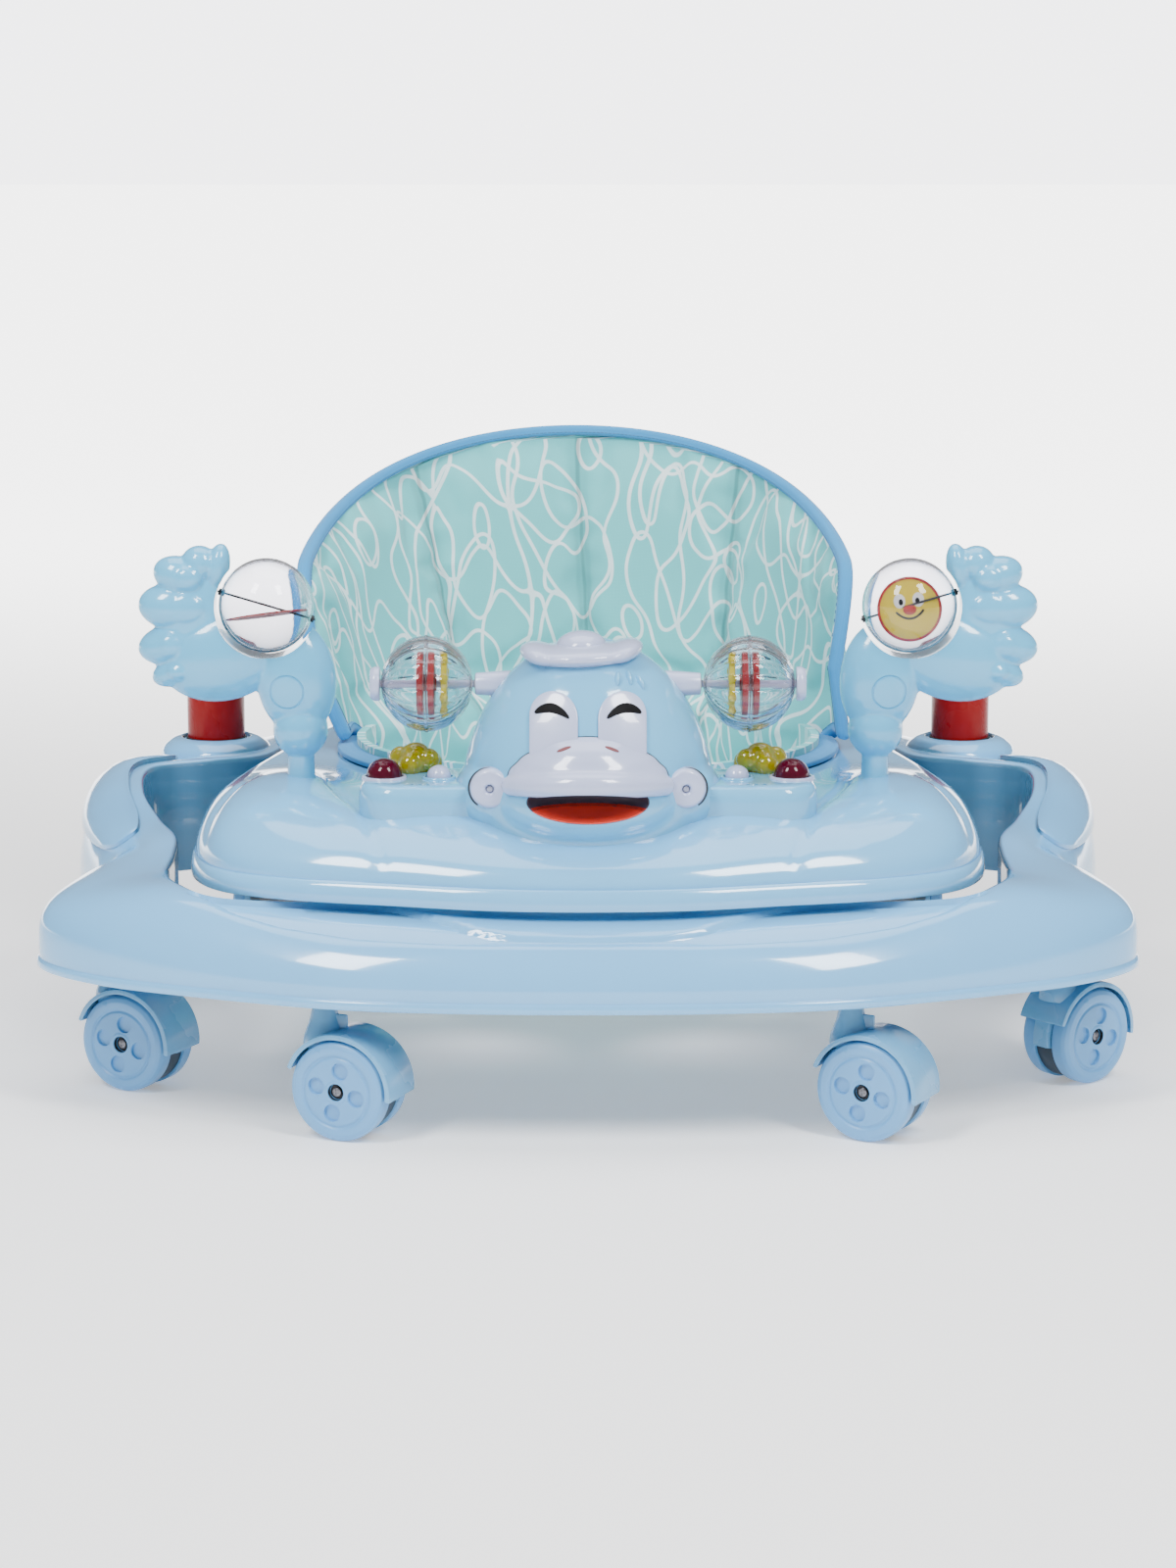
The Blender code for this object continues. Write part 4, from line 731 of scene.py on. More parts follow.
# ---------------------------------------------------------------- play tray
def petal(x, y):
    """Height of the petal-shaped mounds, with a crease along both of their edges."""
    x = np.abs(x)
    toward = np.clip((-y - 0.14) / 0.14, 0, 1)
    inner_edge = np.interp(-y, (0.10, 0.153, 0.227, 0.30), (0.172, 0.163, 0.138, 0.116))
    outer_edge = np.interp(-y, (0.10, 0.140, 0.183, 0.22, 0.25), (0.215, 0.218, 0.234, 0.242, 0.250))
    inside = np.minimum(x - inner_edge, outer_edge - x)
    front = np.clip((-y - 0.085) / 0.03, 0, 1)
    rise = np.where(inside > 0, 0.0034 * (1 - np.exp(-np.maximum(inside, 0) / 0.006)), 0.0)
    crease = -0.0019 * np.exp(-(inside / 0.0045) ** 2)
    hump = (0.0095 * np.exp(-((x - 0.192) / 0.040) ** 2 - ((y + 0.150) / 0.060) ** 2)
            + 0.0090 * np.exp(-((x - 0.098) / 0.048) ** 2 - ((y + 0.232) / 0.042) ** 2))
    return hump + (rise + crease) * front * (1 - 0.2 * toward)


def seat_oval(angle, grow=0.0):
    """Point on the seat opening; angle 0 is the front, a quarter turn is +X."""
    return ((SEAT_HALF_X + grow) * np.sin(angle), SEAT_CENTRE_Y - (SEAT_HALF_Y + grow) * np.cos(angle))


def tray_shell():
    rows = smooth_loop(TRAY_STATIONS, (0,), 20)
    count = len(rows)
    outer, rise = rows[:, :2], rows[:, 2]
    inner = np.column_stack(seat_oval(np.arange(count) / count * TURN))
    width = np.linalg.norm(inner - outer, axis=1)
    across = (inner - outer) / width[:, None]

    def at(inset, height, share=0.0):
        inset, height = np.broadcast_to(inset, width.shape), np.broadcast_to(height, width.shape)
        plan = outer + across * inset[:, None]
        return np.column_stack([plan, height + share * petal(plan[:, 0], plan[:, 1])])

    def shoulder(a):
        return TRAY_LIP + (DECK_TOP - TRAY_LIP) * math.sin(a) ** 0.95

    columns = [at(i, z) for i, z in ((0.0026, 0.1407), (0.0006, 0.1405), (-0.0002, 0.1409),
                                     (-0.0006, 0.1430), (-0.0006, 0.1460), (0.0000, 0.1490),
                                     (0.0011, 0.1516), (0.0022, 0.1532), (0.0036, 0.1538),
                                     (0.0046, 0.1533))]
    start = 0.0046
    for degrees in np.linspace(2, 90, 56):
        a = math.radians(degrees)
        columns.append(at(start + rise * (1 - math.cos(a)), shoulder(a), math.sin(a) ** 0.8))
    for t in np.linspace(0.03, 1.0, 36):
        columns.append(at(start + rise + (width - 0.004 - start - rise) * t, DECK_TOP, 1 - t ** 6))
    columns += [at(width - 0.0012, DECK_TOP - 0.0010), at(width, DECK_TOP - 0.003),
                at(width, DECK_TOP - 0.022), at(width - TRAY_WALL, DECK_TOP - 0.022),
                at(width - TRAY_WALL, DECK_TOP - 0.005)]
    for degrees in (90, 70, 50, 32, 16, 4):
        a = math.radians(degrees)
        columns.append(at(0.003 + rise * (1 - math.cos(a)) + TRAY_WALL * math.cos(a),
                          shoulder(a) - TRAY_WALL * math.sin(a), 0.8 * math.sin(a)))
    fit("tray_skin", sheet_shape(np.stack(columns, 1), True, True), "tray", "tray", "tray_plastic",
        "tray_shell", sharp=50)


def seat_hoop():
    """Hoop round the seat opening, and the sling's bound edge turned over it."""
    angle = np.arange(160) / 160 * TURN

    def swept(section):
        return sheet_shape(np.stack([np.column_stack([*seat_oval(angle, grow), np.full(160, DECK_TOP + z)])
                                     for grow, z in section], 1), True, True)

    rim = soften([(0.005, 0.0004), (0.005, 0.0030), (-0.0065, 0.0042), (-0.0065, -0.026),
                  (-0.0008, -0.026), (-0.0008, 0.0004)], 0.0012, True)
    fit("hoop_skin", swept(rim), "tray", "tray", "tray_plastic", "seat_hoop", sharp=50)
    over = soften([(0.0062, 0.0008), (0.0060, 0.0042), (-0.0076, 0.0060), (-0.0078, -0.0060),
                   (-0.0064, -0.0060), (-0.0062, 0.0040), (0.0048, 0.0032)], 0.0010, True)
    uv = np.stack(np.broadcast_arrays((angle * SLING_CLOTH_R)[:, None], np.arange(len(over)) * 0.002), -1)
    fit("sling_edging", swept(over), "binding", "tray", "seat_fabric", sharp=50, uv=uv)


# ---------------------------------------------------------------- duck
def duck():
    """Head with its mouth, bill, eyes, tufts and hat; the whole head is kept to trim the lining."""
    cheeks = [ball((s * 0.050, -0.208, 0.196), (0.034, 0.040, 0.030)) for s in (-1, 1)]
    head = merged("head_skin", [ball(HEAD_CENTRE, HEAD_RADII, segments=96), ball(JAW_CENTRE, JAW_RADII),
                                *cheeks], MATS["toy"], 0.0016, 10)
    face = surface(head)
    whole_head = bpy.data.objects.new("whole_head", head.data.copy())
    bpy.context.scene.collection.objects.link(whole_head)
    cut(head, ball(MOUTH_CENTRE, MOUTH_RADII, segments=96),
        block((-0.12, -0.32, 0.08), (0.12, -0.08, HEAD_BOTTOM), 0.0001))
    attach(head, "tray", "toy_plastic", "duck_head")
    mouth(whole_head)
    bpy.data.objects.remove(whole_head)
    bill_top = bill(face)
    for side, sign in SIDES:
        cheek(side, sign)
        nostril(side, sign, bill_top)
        eye(side, sign, face)
    for k, (x, z, lean) in enumerate(((0.0180, 0.2735, 8), (0.0250, 0.2735, -6), (0.0318, 0.2705, -18))):
        spot, normal = project(face, x, z)
        lie = lying(spot - normal * 0.0002, normal, (0, -1, 0))
        lie = lie @ Matrix.Rotation(math.radians(lean), 4, "Y")
        fit("tuft_%d" % k, moved(ball((0, 0, 0), (0.0018, 0.0032, 0.0052), segments=24), lie), "toy",
            "tray", "toy_plastic")
    hat()


def mouth(whole_head):
    """The hollow of the mouth: a roof coloured dark as painted shade, and a red lining over its lower half.
    """
    for name, thin, low, high, mat, slot, nodes in (
            ("mouth_roof", 0.0002, 0.180, 0.1975, "mouth_shade", "toy_plastic", ()),
            ("mouth_skin", 0.0003, 0.1990, 0.230, "mouth", "mouth_plastic", ("mouth_liner",))):
        bowl = [ball(MOUTH_CENTRE, [r - t for r in MOUTH_RADII], segments=96) for t in (thin, 0.0011)]
        lining = build(name, bowl[0], MATS[mat])
        cut(lining, bowl[1], block((-0.06, -0.32, low), (0.06, -0.22, high), 0.0001))
        boolean(lining, whole_head, "INTERSECT", 38.0)
        attach(lining, "tray", slot, *nodes)


def bill(face):
    """A flattened top with a rolled lip along its front edge, and a thin dark line of painted shade where
    it meets the head.
    """
    x = np.linspace(-0.0465, 0.0465, 29)
    path = np.column_stack([x, -0.2775 + 11.0 * x ** 2, 0.2146 - 1.9 * x ** 2])
    lip = [capsule(a, b, 0.0083 - 0.9 * (a[0] + b[0]) ** 2 / 4) for a, b in zip(path[:-1], path[1:])]
    top = [ball((0, y, z), radii, segments=80) for y, z, radii in (
        (-0.2430, 0.2165, (0.0495, 0.0335, 0.0170)), (-0.2430, 0.2200, (0.0455, 0.0332, 0.0195)),
        (-0.2425, 0.2226, (0.0385, 0.0325, 0.0210)))]
    beak = merged("beak_skin", [*top, *lip], MATS["white"], 0.0012, 12)
    cut(beak, ball((0, -0.272, 0.1965), (0.0420, 0.052, 0.0140), segments=80))
    bill_top = surface(beak)
    attach(beak, "tray", "white_plastic", "beak")
    # Painted shade: a thin dark tube along the line where the bill meets the head.
    seam = []
    for a in np.radians(np.linspace(-4, 184, 64)):
        low, high = 0.0, 0.068
        for _ in range(16):
            reach = (low + high) / 2
            spot, _ = project(face, reach * math.cos(a), 0.214 + reach * math.sin(a))
            nearest, normal, _, _ = bill_top.find_nearest(spot)
            low, high = (reach, high) if (spot - nearest).dot(normal) < 0 else (low, reach)
        seam.append(spot)
    fit("beak_joint", join(*chain(seam, 0.00042, 8)), "collar", "tray", "toy_plastic")
    return bill_top


def cheek(side, sign):
    """Round end of the bill, a dark disc behind it as painted shade in the gap, and its recessed screw."""
    place, length = along((sign * 0.058, -0.225, 0.2075), (sign * 0.060, -0.2480, 0.2070))
    disc = [(0.0, 0.0), (0.0124, 0.0), (0.0126, length - 0.0030), (0.0112, length),
            (0.0060, length + 0.0006), (0.0028, length + 0.0002), (0.0022, length - 0.0030),
            (0.0, length - 0.0032)]
    fit("beak_cheek_" + side, turned(disc, 0.0016, place, 72, steps=4), "white", "tray", "white_plastic")
    # Painted shade: a dark disc a little wider than the cheek shows as a dark ring in the gap around it.
    gap_shade_disc = turned(oblong(0.0, 0.0131, length - 0.0075, length - 0.0050), 0.0005,
                     Matrix.Translation((sign * 0.0009, 0.0, -0.0005)) @ place)
    fit("beak_gap_" + side, gap_shade_disc, "collar", "tray", "toy_plastic")
    recess = [(0.0, length - 0.0030), (0.0021, length - 0.0030), (0.0019, length - 0.0012),
              (0.0, length - 0.0010)]
    fit("beak_screw_" + side, turned(recess, 0.0004, place, 32), "screw_hole", "tray", "steel")


def nostril(side, sign, bill_top):
    spot, normal, _, _ = bill_top.ray_cast(Vector((sign * 0.0145, -0.2655, 0.30)), Vector((0, 0, -1)))
    lie = lying(spot, normal, (0, 0, 1)) @ Matrix.Rotation(math.radians(-sign * 8), 4, "Z")
    fit("nostril_" + side, moved(ball((0, 0, 0), (0.0046, 0.0013, 0.0007), segments=32), lie), "nostril",
        "tray", "white_plastic")


def eye(side, sign, face):
    """Eye panel, then the closed eye as an arc drawn on it."""
    centre_x, low, top, half = sign * 0.0205, 0.228, 0.2660, 0.0145
    outline = [(centre_x + half * math.cos(a), top - half + half * math.sin(a))
               for a in np.linspace(0, math.pi, 25)]
    outline += [(centre_x - half, z) for z in np.linspace(top - half - 0.003, low, 8)]
    outline += [(centre_x + half - 2 * half * t, low) for t in (0.2, 0.4, 0.6, 0.8)][::-1]
    outline += [(centre_x + half, z) for z in np.linspace(low, top - half - 0.003, 8)]
    outline = np.array(outline)
    middle = np.array([centre_x, top - half])
    reach = (1.0, 1.0, 0.975, 0.93, 0.84, 0.68, 0.48, 0.25, 0.02)
    lift = (-0.0004, 0.0016, 0.0021, 0.0022, 0.0022, 0.0021, 0.0020, 0.0020, 0.0020)
    grid = [middle + (outline - middle) * r for r in reach]
    panel = sheet_shape(inlay(grid, face, [[v] * len(outline) for v in lift]), False, True)
    fit("eye_panel_" + side, panel, "white", "tray", "white_plastic", sharp=60)

    t = np.linspace(-1, 1, 33)
    eye_x = centre_x + sign * 0.0008 + 0.0103 * t
    eye_z = 0.2565 - 0.0042 * t ** 2 + sign * 0.0010 * t
    thick = 0.0029 * np.sqrt(np.clip(1 - np.abs(t) ** 1.9, 0, 1)) + 0.00008
    strip = [[(a, b + c * k) for a, b, c in zip(eye_x, eye_z, thick)] for k in (-1, -0.85, 0, 0.85, 1)]
    lifts = [[v] * len(t) for v in (0.0016, 0.0027, 0.0029, 0.0027, 0.0016)]
    fit("closed_eye_" + side, sheet_shape(inlay(strip, face, lifts)), "black", "tray", "toy_plastic",
        sharp=60)


def hat():
    lean = Matrix.Translation((-0.004, -0.210, 0.286)) @ Matrix.Rotation(math.radians(-2), 4, "Y")
    brim = [ball((0, 0, -0.0012), (0.0350, 0.0300, 0.0078), segments=72)]
    brim += [ball((-s * 0.0245, 0.0, -0.0002), (0.0140, 0.0250, 0.0068), s * 16) for s in (1, -1)]
    skin = merged("hat_skin", [moved(shape, lean) for shape in brim], MATS["white"], 0.0012, 4)
    attach(skin, "tray", "white_plastic", "hat")
    fit("hat_crown", moved(ball((0, 0.001, 0.0035), (0.0158, 0.0165, 0.0098), segments=72), lean), "white",
        "tray", "white_plastic")


# ---------------------------------------------------------------- console wings and toys
# Buttons: kind, x, y, radius, height of the dome, radius of the pocket, material, material of the rim.
BUTTONS = [("round", 0.1265, -0.203, 0.0110, 0.0125, 0.0116, "maroon", "white"),
           ("small", 0.0925, -0.205, 0.0075, 0.0085, 0.0081, "white", "toy")]
SPEAKER_X, SPEAKER_Y = (0.0985, 0.1035, 0.1085), -0.2265
LEAF_X, LEAF_Y = 0.108, -0.179


def wing_outline(sign, grow):
    """Plan of a wing, square under the head and rounded at its outer end."""
    centre_y, half_y, corner, outer_x = -0.199, 0.036 + grow, 0.024 + grow, 0.142 + grow
    points = [(0.030, centre_y + half_y), (0.030, centre_y - half_y)]
    points += arc((outer_x - corner, centre_y - half_y + corner), corner, -90, 0, 12).tolist()
    points += arc((outer_x - corner, centre_y + half_y - corner), corner, 0, 90, 12).tolist()
    return [(sign * x, y) for x, y in points]


def console_wing(side, sign):
    levels = [(0.0, 0.170), (0.0, 0.1960), (-0.0004, 0.2000), (-0.0016, 0.2032), (-0.0036, 0.2052),
              (-0.0064, 0.2060), (-0.012, 0.2062), (-0.020, 0.2062)]
    rings = [[(x, y, z) for x, y in wing_outline(sign, grow)] for grow, z in levels]
    points, faces = sheet_shape(rings, False, True)
    count = len(rings[0])
    faces += [list(range(len(points) - count, len(points))), list(range(count))]
    wing = build("wing_skin_" + side, (points, faces), MATS["toy"], 50)

    def upright(x, y, low, high, *size):
        return rod((sign * x, y, CONSOLE_TOP + low), (sign * x, y, CONSOLE_TOP + high), *size)

    pockets = [upright(x, y, -0.008, 0.01, pocket) for _, x, y, _, _, pocket, _, _ in BUTTONS]
    holes = [upright(x, SPEAKER_Y, -0.004, 0.01, 0.0013, 0.0002, 20) for x in SPEAKER_X]
    cut(wing, *pockets, *holes)
    attach(wing, "tray", "toy_plastic", "console_wing_" + side)
    # Painted shade: dark plugs at the bottom of the speaker holes.
    dark = join(*[upright(x, SPEAKER_Y, -0.0040, -0.0014, 0.00125, 0.0002, 20) for x in SPEAKER_X])
    fit("speaker_holes_" + side, dark, "collar", "tray", "toy_plastic")

    for kind, x, y, radius, dome, _, mat, rim_mat in BUTTONS:
        spot = Matrix.Translation((sign * x, y, 0.0))
        a = np.linspace(0, math.pi / 2, 14)
        cap = np.column_stack([radius * np.cos(a), CONSOLE_TOP + 0.0018 + (dome - 0.0018) * np.sin(a)])
        foot = [(0.0, CONSOLE_TOP - 0.0045), (radius, CONSOLE_TOP - 0.0045)]
        node = "%s_button_%s" % (kind, side)
        fit("%s_button_skin_%s" % (kind, side), lathe(np.concatenate([foot, cap]), spot, 72), mat,
            node, mat + "_plastic", node)
        rim = [(radius + 0.0006, CONSOLE_TOP - 0.001), (radius + 0.0034, CONSOLE_TOP - 0.001),
               (radius + 0.0026, CONSOLE_TOP + 0.0016), (radius + 0.0009, CONSOLE_TOP + 0.0018)]
        fit("%s_button_rim_%s" % (kind, side), turned(rim, 0.0006, spot, 72, True), rim_mat,
            "tray", "toy_plastic")

    lobes = [ball((sign * LEAF_X, LEAF_Y, 0.2135), (0.0110, 0.0100, 0.0110))]
    for degrees, size in ((20, 0.0078), (85, 0.0072), (150, 0.0080), (215, 0.0070), (290, 0.0076)):
        a = math.radians(degrees)
        lobes.append(ball((sign * (LEAF_X + 0.0100 * math.cos(a)), LEAF_Y + 0.0075 * math.sin(a),
                           0.2125 + 0.002 * math.sin(2 * a)), (size, size * 0.9, size)))
    leaf = merged("leaf_skin_" + side, lobes, MATS["olive"], 0.0010, 3)
    attach(leaf, "tray", "olive_plastic", "leaf_lens_" + side)


def rattle(side, sign):
    """Ribbed clear ball on an arm, with red discs and a beaded yellow gear inside."""
    body = "rattle_" + side
    turn = (Matrix.Translation((0, RATTLE_Y, RATTLE_Z)) @ Matrix.Rotation(sign * math.pi / 2, 4, "Y"))
    near, far = RATTLE_X - RATTLE_R, RATTLE_X + RATTLE_R
    arm = [(0.0, 0.040), (0.0088, 0.040), (0.0078, 0.056), (0.0068, near - 0.0015),
           (0.0022, near - 0.0010), (0.0022, far + 0.0005), (0.0106, far + 0.0005),
           (0.0108, far + 0.0040), (0.0094, far + 0.0066), (0.0, far + 0.0072)]
    fit("rattle_arm_skin_" + side, turned(arm, 0.0010, turn), "white", "tray", "white_plastic",
        "rattle_arm_" + side)

    def ring(r_in, r_out, low, high, soft, segments):
        return turned(oblong(r_in, r_out, RATTLE_X + low, RATTLE_X + high), soft, turn, segments, True)

    shell = lathe(hollow_ball(RATTLE_R, 0.0016, 0.0030, RATTLE_X, 41), turn, 240, True, 18, 0.055)
    fit("rattle_skin_" + side, shell, "clear", body, "clear_plastic", "rattle_ball_" + side, sharp=60)
    fit("rattle_flange_" + side, ring(0.0280, 0.0303, -0.0011, 0.0011, 0.0005, 96), "clear", body,
        "clear_plastic")
    spindle = lathe(oblong(0.0026, 0.0045, RATTLE_X - 0.006, RATTLE_X + 0.006), turn, 32, True)
    discs = [ring(0.0026, 0.0212, x - 0.0019, x + 0.0019, 0.0005, 64) for x in (-0.0030, 0.0038)]
    fit("rattle_discs_" + side, join(*discs, spindle), "rattle_red", body, "red_plastic",
        "rattle_core_" + side)
    gear = [ring(0.0026, 0.0188, -0.0128, -0.0092, 0.0006, 48)]
    for b in np.arange(10) / 10 * TURN:
        gear.append(moved(ball((0.0196 * math.cos(b), 0.0196 * math.sin(b), RATTLE_X - 0.011),
                               (0.0030, 0.0030, 0.0026), segments=20), turn))
    fit("rattle_beads_" + side, join(*gear), "rattle_yellow", body, "red_plastic")


# ---------------------------------------------------------------- hands
# Lobes of the right hand about the ball: x, z, half-size x, y, z, tilt in degrees.
HAND_LOBES = [
    (0.0300, 0.0245, 0.0075, 0.0100, 0.0150, 10.0), (0.0415, 0.0265, 0.0120, 0.0110, 0.0115, 15.0),
    (0.0535, 0.0185, 0.0180, 0.0125, 0.0125, 18.0), (0.0585, -0.0010, 0.0225, 0.0135, 0.0150, 6.0),
    (0.0595, -0.0245, 0.0222, 0.0130, 0.0132, -10.0), (0.0555, -0.0405, 0.0185, 0.0115, 0.0098, -22.0),
    (0.0465, -0.0080, 0.0220, 0.0115, 0.0320, 10.0), (0.0290, -0.0320, 0.0400, 0.0165, 0.0290, -10.0),
    (-0.0180, -0.0460, 0.0255, 0.0160, 0.0370, -6.0), (-0.0205, -0.0790, 0.0175, 0.0155, 0.0185, 0.0),
]
# Soft pads on the fingers: x, z, half-size x, z.
FINGER_PADS = [(0.0490, 0.0180, 0.0095, 0.0080), (0.0500, -0.0010, 0.0130, 0.0105),
               (0.0600, -0.0245, 0.0095, 0.0085), (0.0550, -0.0410, 0.0085, 0.0058)]
PALM_MARK_X, PALM_MARK_Z, PALM_MARK_R = 0.1898, 0.2537, 0.0105


def hand(side, sign):
    """Open hand: fingers, palm and stem in one, bored for the clear ball that it holds."""
    cx, cy, cz = sign * BALL_CENTRE.x, BALL_CENTRE.y, BALL_CENTRE.z
    shapes = [ball((cx + sign * x, cy, cz + z), (a, b, c), sign * -tilt, 48)
              for x, z, a, b, c, tilt in HAND_LOBES]
    shapes += [ball((cx + sign * x, cy - s * 0.0085, cz + z), (a, 0.0058, c), 0.0, 40)
               for x, z, a, c in FINGER_PADS for s in (-1, 1)]
    stem = [(0.0, 0.172), (0.0135, 0.172), (0.0128, 0.1915), (0.0092, 0.1960),
            (0.0085, 0.205), (0.0085, 0.235), (0.0, 0.235)]
    shapes.append(turned(stem, 0.002, Matrix.Translation((cx - sign * 0.0205, cy, 0)), 40))
    palm = merged("hand_skin_" + side, shapes, MATS["hand"], 0.0011, 3)
    front = surface(palm)
    angles = np.linspace(0, TURN, 64, endpoint=False)
    mark = np.array([list(project(front, sign * PALM_MARK_X + PALM_MARK_R * math.cos(a),
                                  PALM_MARK_Z + PALM_MARK_R * math.sin(a))[0]) for a in angles])
    groove = tube(mark, arc((0, 0), 0.0008, 0, 315, 7), True, away_from_middle(mark),
                  np.tile((0, -1.0, 0), (len(mark), 1)))
    socket = rod((cx, cy - 0.03, cz), (cx, cy + 0.03, cz), BALL_R + 0.0022, 0.0, 128)
    cut(palm, socket, groove, sharp=44)
    attach(palm, "tray", "toy_plastic", "hand_" + side)
    clear_ball(side, sign, Vector((cx, cy, cz)))
    card(side, sign, Vector((cx, cy, cz)))


def clear_ball(side, sign, centre):
    body = "hand_ball_" + side
    axis = Vector((-sign * math.cos(BALL_TILT), 0.0, -math.sin(BALL_TILT)))
    turn, _ = along(centre, centre + axis)
    fit("ball_skin_" + side, lathe(hollow_ball(BALL_R, 0.0014, 0.0012, 0.0, 61), turn, 96, True), "clear",
        body, "clear_plastic", "clear_ball_" + side, sharp=60)
    tip, inside, outside = [axis * (BALL_R + reach) for reach in (0.0020, -0.0024, 0.0012)]
    pin = [rod(centre - tip, centre + tip, 0.0007)]
    pin += [rod(centre + inside * s, centre + outside * s, 0.0022) for s in (-1, 1)]
    fit("ball_pin_" + side, join(*pin), "collar", body, "card")


def card(side, sign, centre):
    """The card faces the viewer on the right and lies edge-on on the left."""
    if sign > 0:
        normal = Vector((0.05, -0.985, 0.17)).normalized()
        right = Vector((1, 0, 0.1)).normalized()
        drop, size, mat = 0.0024, 0.0206, "card"
    else:
        normal = Vector((-0.130, 0.165, 0.98)).normalized()
        right = Vector((1, 0, 0.13)).normalized()
        drop, size, mat = 0.0062, 0.0258, "card_edge"
    up = normal.cross(right).normalized()
    right = up.cross(normal).normalized()
    place = Matrix((right, up, normal)).transposed().to_4x4()
    place.translation = centre - Vector((0.0, 0.0, drop))
    fit("card_skin_" + side, turned(oblong(0.0, size, -0.0005, 0.0005), 0.0002, place, 72), mat,
        "hand_ball_" + side, "card", "ball_card_" + side)
    card_face(side, place @ Matrix.Diagonal((0.888, 0.888, 1.0, 1.0)))


def card_face(side, place):
    """Plain smiling face on the card."""
    def disc(x, y, rx, ry, height):
        return moved(ball((x, y, 0.0005), (rx, ry, height), segments=28), place)

    smile = [np.array([0.0095 * a, -0.0068 + 0.0050 * a * a, 0.0006]) for a in np.linspace(-1, 1, 21)]
    lips = [moved(shape, place) for shape in chain(smile, 0.0008, 10)]
    rim = moved(turned(oblong(0.0212, 0.0232, 0.0, 0.0008), 0.0002, None, 72, True), place)
    eyes = [disc(x, 0.0062, 0.0042, 0.0052, 0.0006) for x in (-0.0068, 0.0068)]
    pupils = [disc(x, 0.0055, 0.0019, 0.0026, 0.0010) for x in (-0.0060, 0.0060)]
    nose = disc(0.0, -0.0005, 0.0048, 0.0036, 0.0012)
    for name, shape, mat in (("card_rim_", rim, "card_edge"), ("card_eyes_", join(*eyes), "card_white"),
                             ("card_pupils_", join(*pupils, *lips), "black"),
                             ("card_nose_", nose, "card_edge")):
        fit(name + side, shape, mat, "hand_ball_" + side, "card")


# ---------------------------------------------------------------- seat
def back_top(s):
    arch = 0.300 + 0.087 * np.cos(0.95 * s * math.pi / 2) ** 1.5
    corner = np.clip((np.abs(s) - 0.86) / 0.14, 0, 1)
    return arch - 0.060 * (1 - np.sqrt(1 - corner ** 2))


def tuck(s):
    """1 where the backrest's lower edge is tucked into the sling, 0 at its two free ends."""
    return 1 - step_at(np.abs(s), TUCK_END, 0.20)


def back_point(s, t, inward):
    bottom = BACK_BOTTOM - 0.044 * tuck(s)
    z = bottom + (back_top(s) - bottom) * t
    lean = BACK_LEAN + (SIDE_LEAN - BACK_LEAN) * np.sin(s * BACK_HALF_ANGLE) ** 2
    flare = 0.010 + lean * np.maximum(z - BACK_BOTTOM, 0.0)
    flare = flare - 0.0285 * tuck(s) * (1 - step_at(z, 0.2040, 0.030))
    x, y = seat_oval(math.pi + s * BACK_HALF_ANGLE, flare - inward)
    # The cloth sits a little askew on its wire: its top leans to one side.
    return np.stack([x + 0.004 - 0.013 * t, y, z], -1)


def inflate(obj, pinned, pressure, limit):
    """Blow a closed cloth skin up between its pinned seams."""
    rest = np.array([v.co for v in obj.data.vertices])
    group = obj.vertex_groups.new(name="pinned")
    group.add([int(i) for i in np.flatnonzero(pinned)], 1.0, "REPLACE")
    cloth = obj.modifiers.new("cloth", "CLOTH")
    cloth.settings.quality = 6
    cloth.settings.mass = 0.15
    cloth.settings.tension_stiffness = cloth.settings.compression_stiffness = 12.0
    cloth.settings.shear_stiffness = 4.0
    cloth.settings.bending_stiffness = 0.3
    cloth.settings.shrink_min = -0.035
    cloth.settings.use_pressure = True
    cloth.settings.uniform_pressure_force = pressure
    cloth.settings.vertex_group_mass = "pinned"
    cloth.settings.effector_weights.gravity = 0.0
    cloth.collision_settings.use_collision = False
    cloth.point_cache.frame_start, cloth.point_cache.frame_end = 1, 20
    for number in range(1, 21):
        bpy.context.scene.frame_set(number)
    bake(obj, 60)
    after = np.array([v.co for v in obj.data.vertices])
    shift = after - rest
    length = np.linalg.norm(shift, axis=1, keepdims=True)
    shift *= np.minimum(1.0, limit / np.maximum(length, 1e-9))
    obj.data.vertices.foreach_set("co", (rest + shift).ravel())
    obj.data.update()
    bpy.context.scene.frame_set(1)


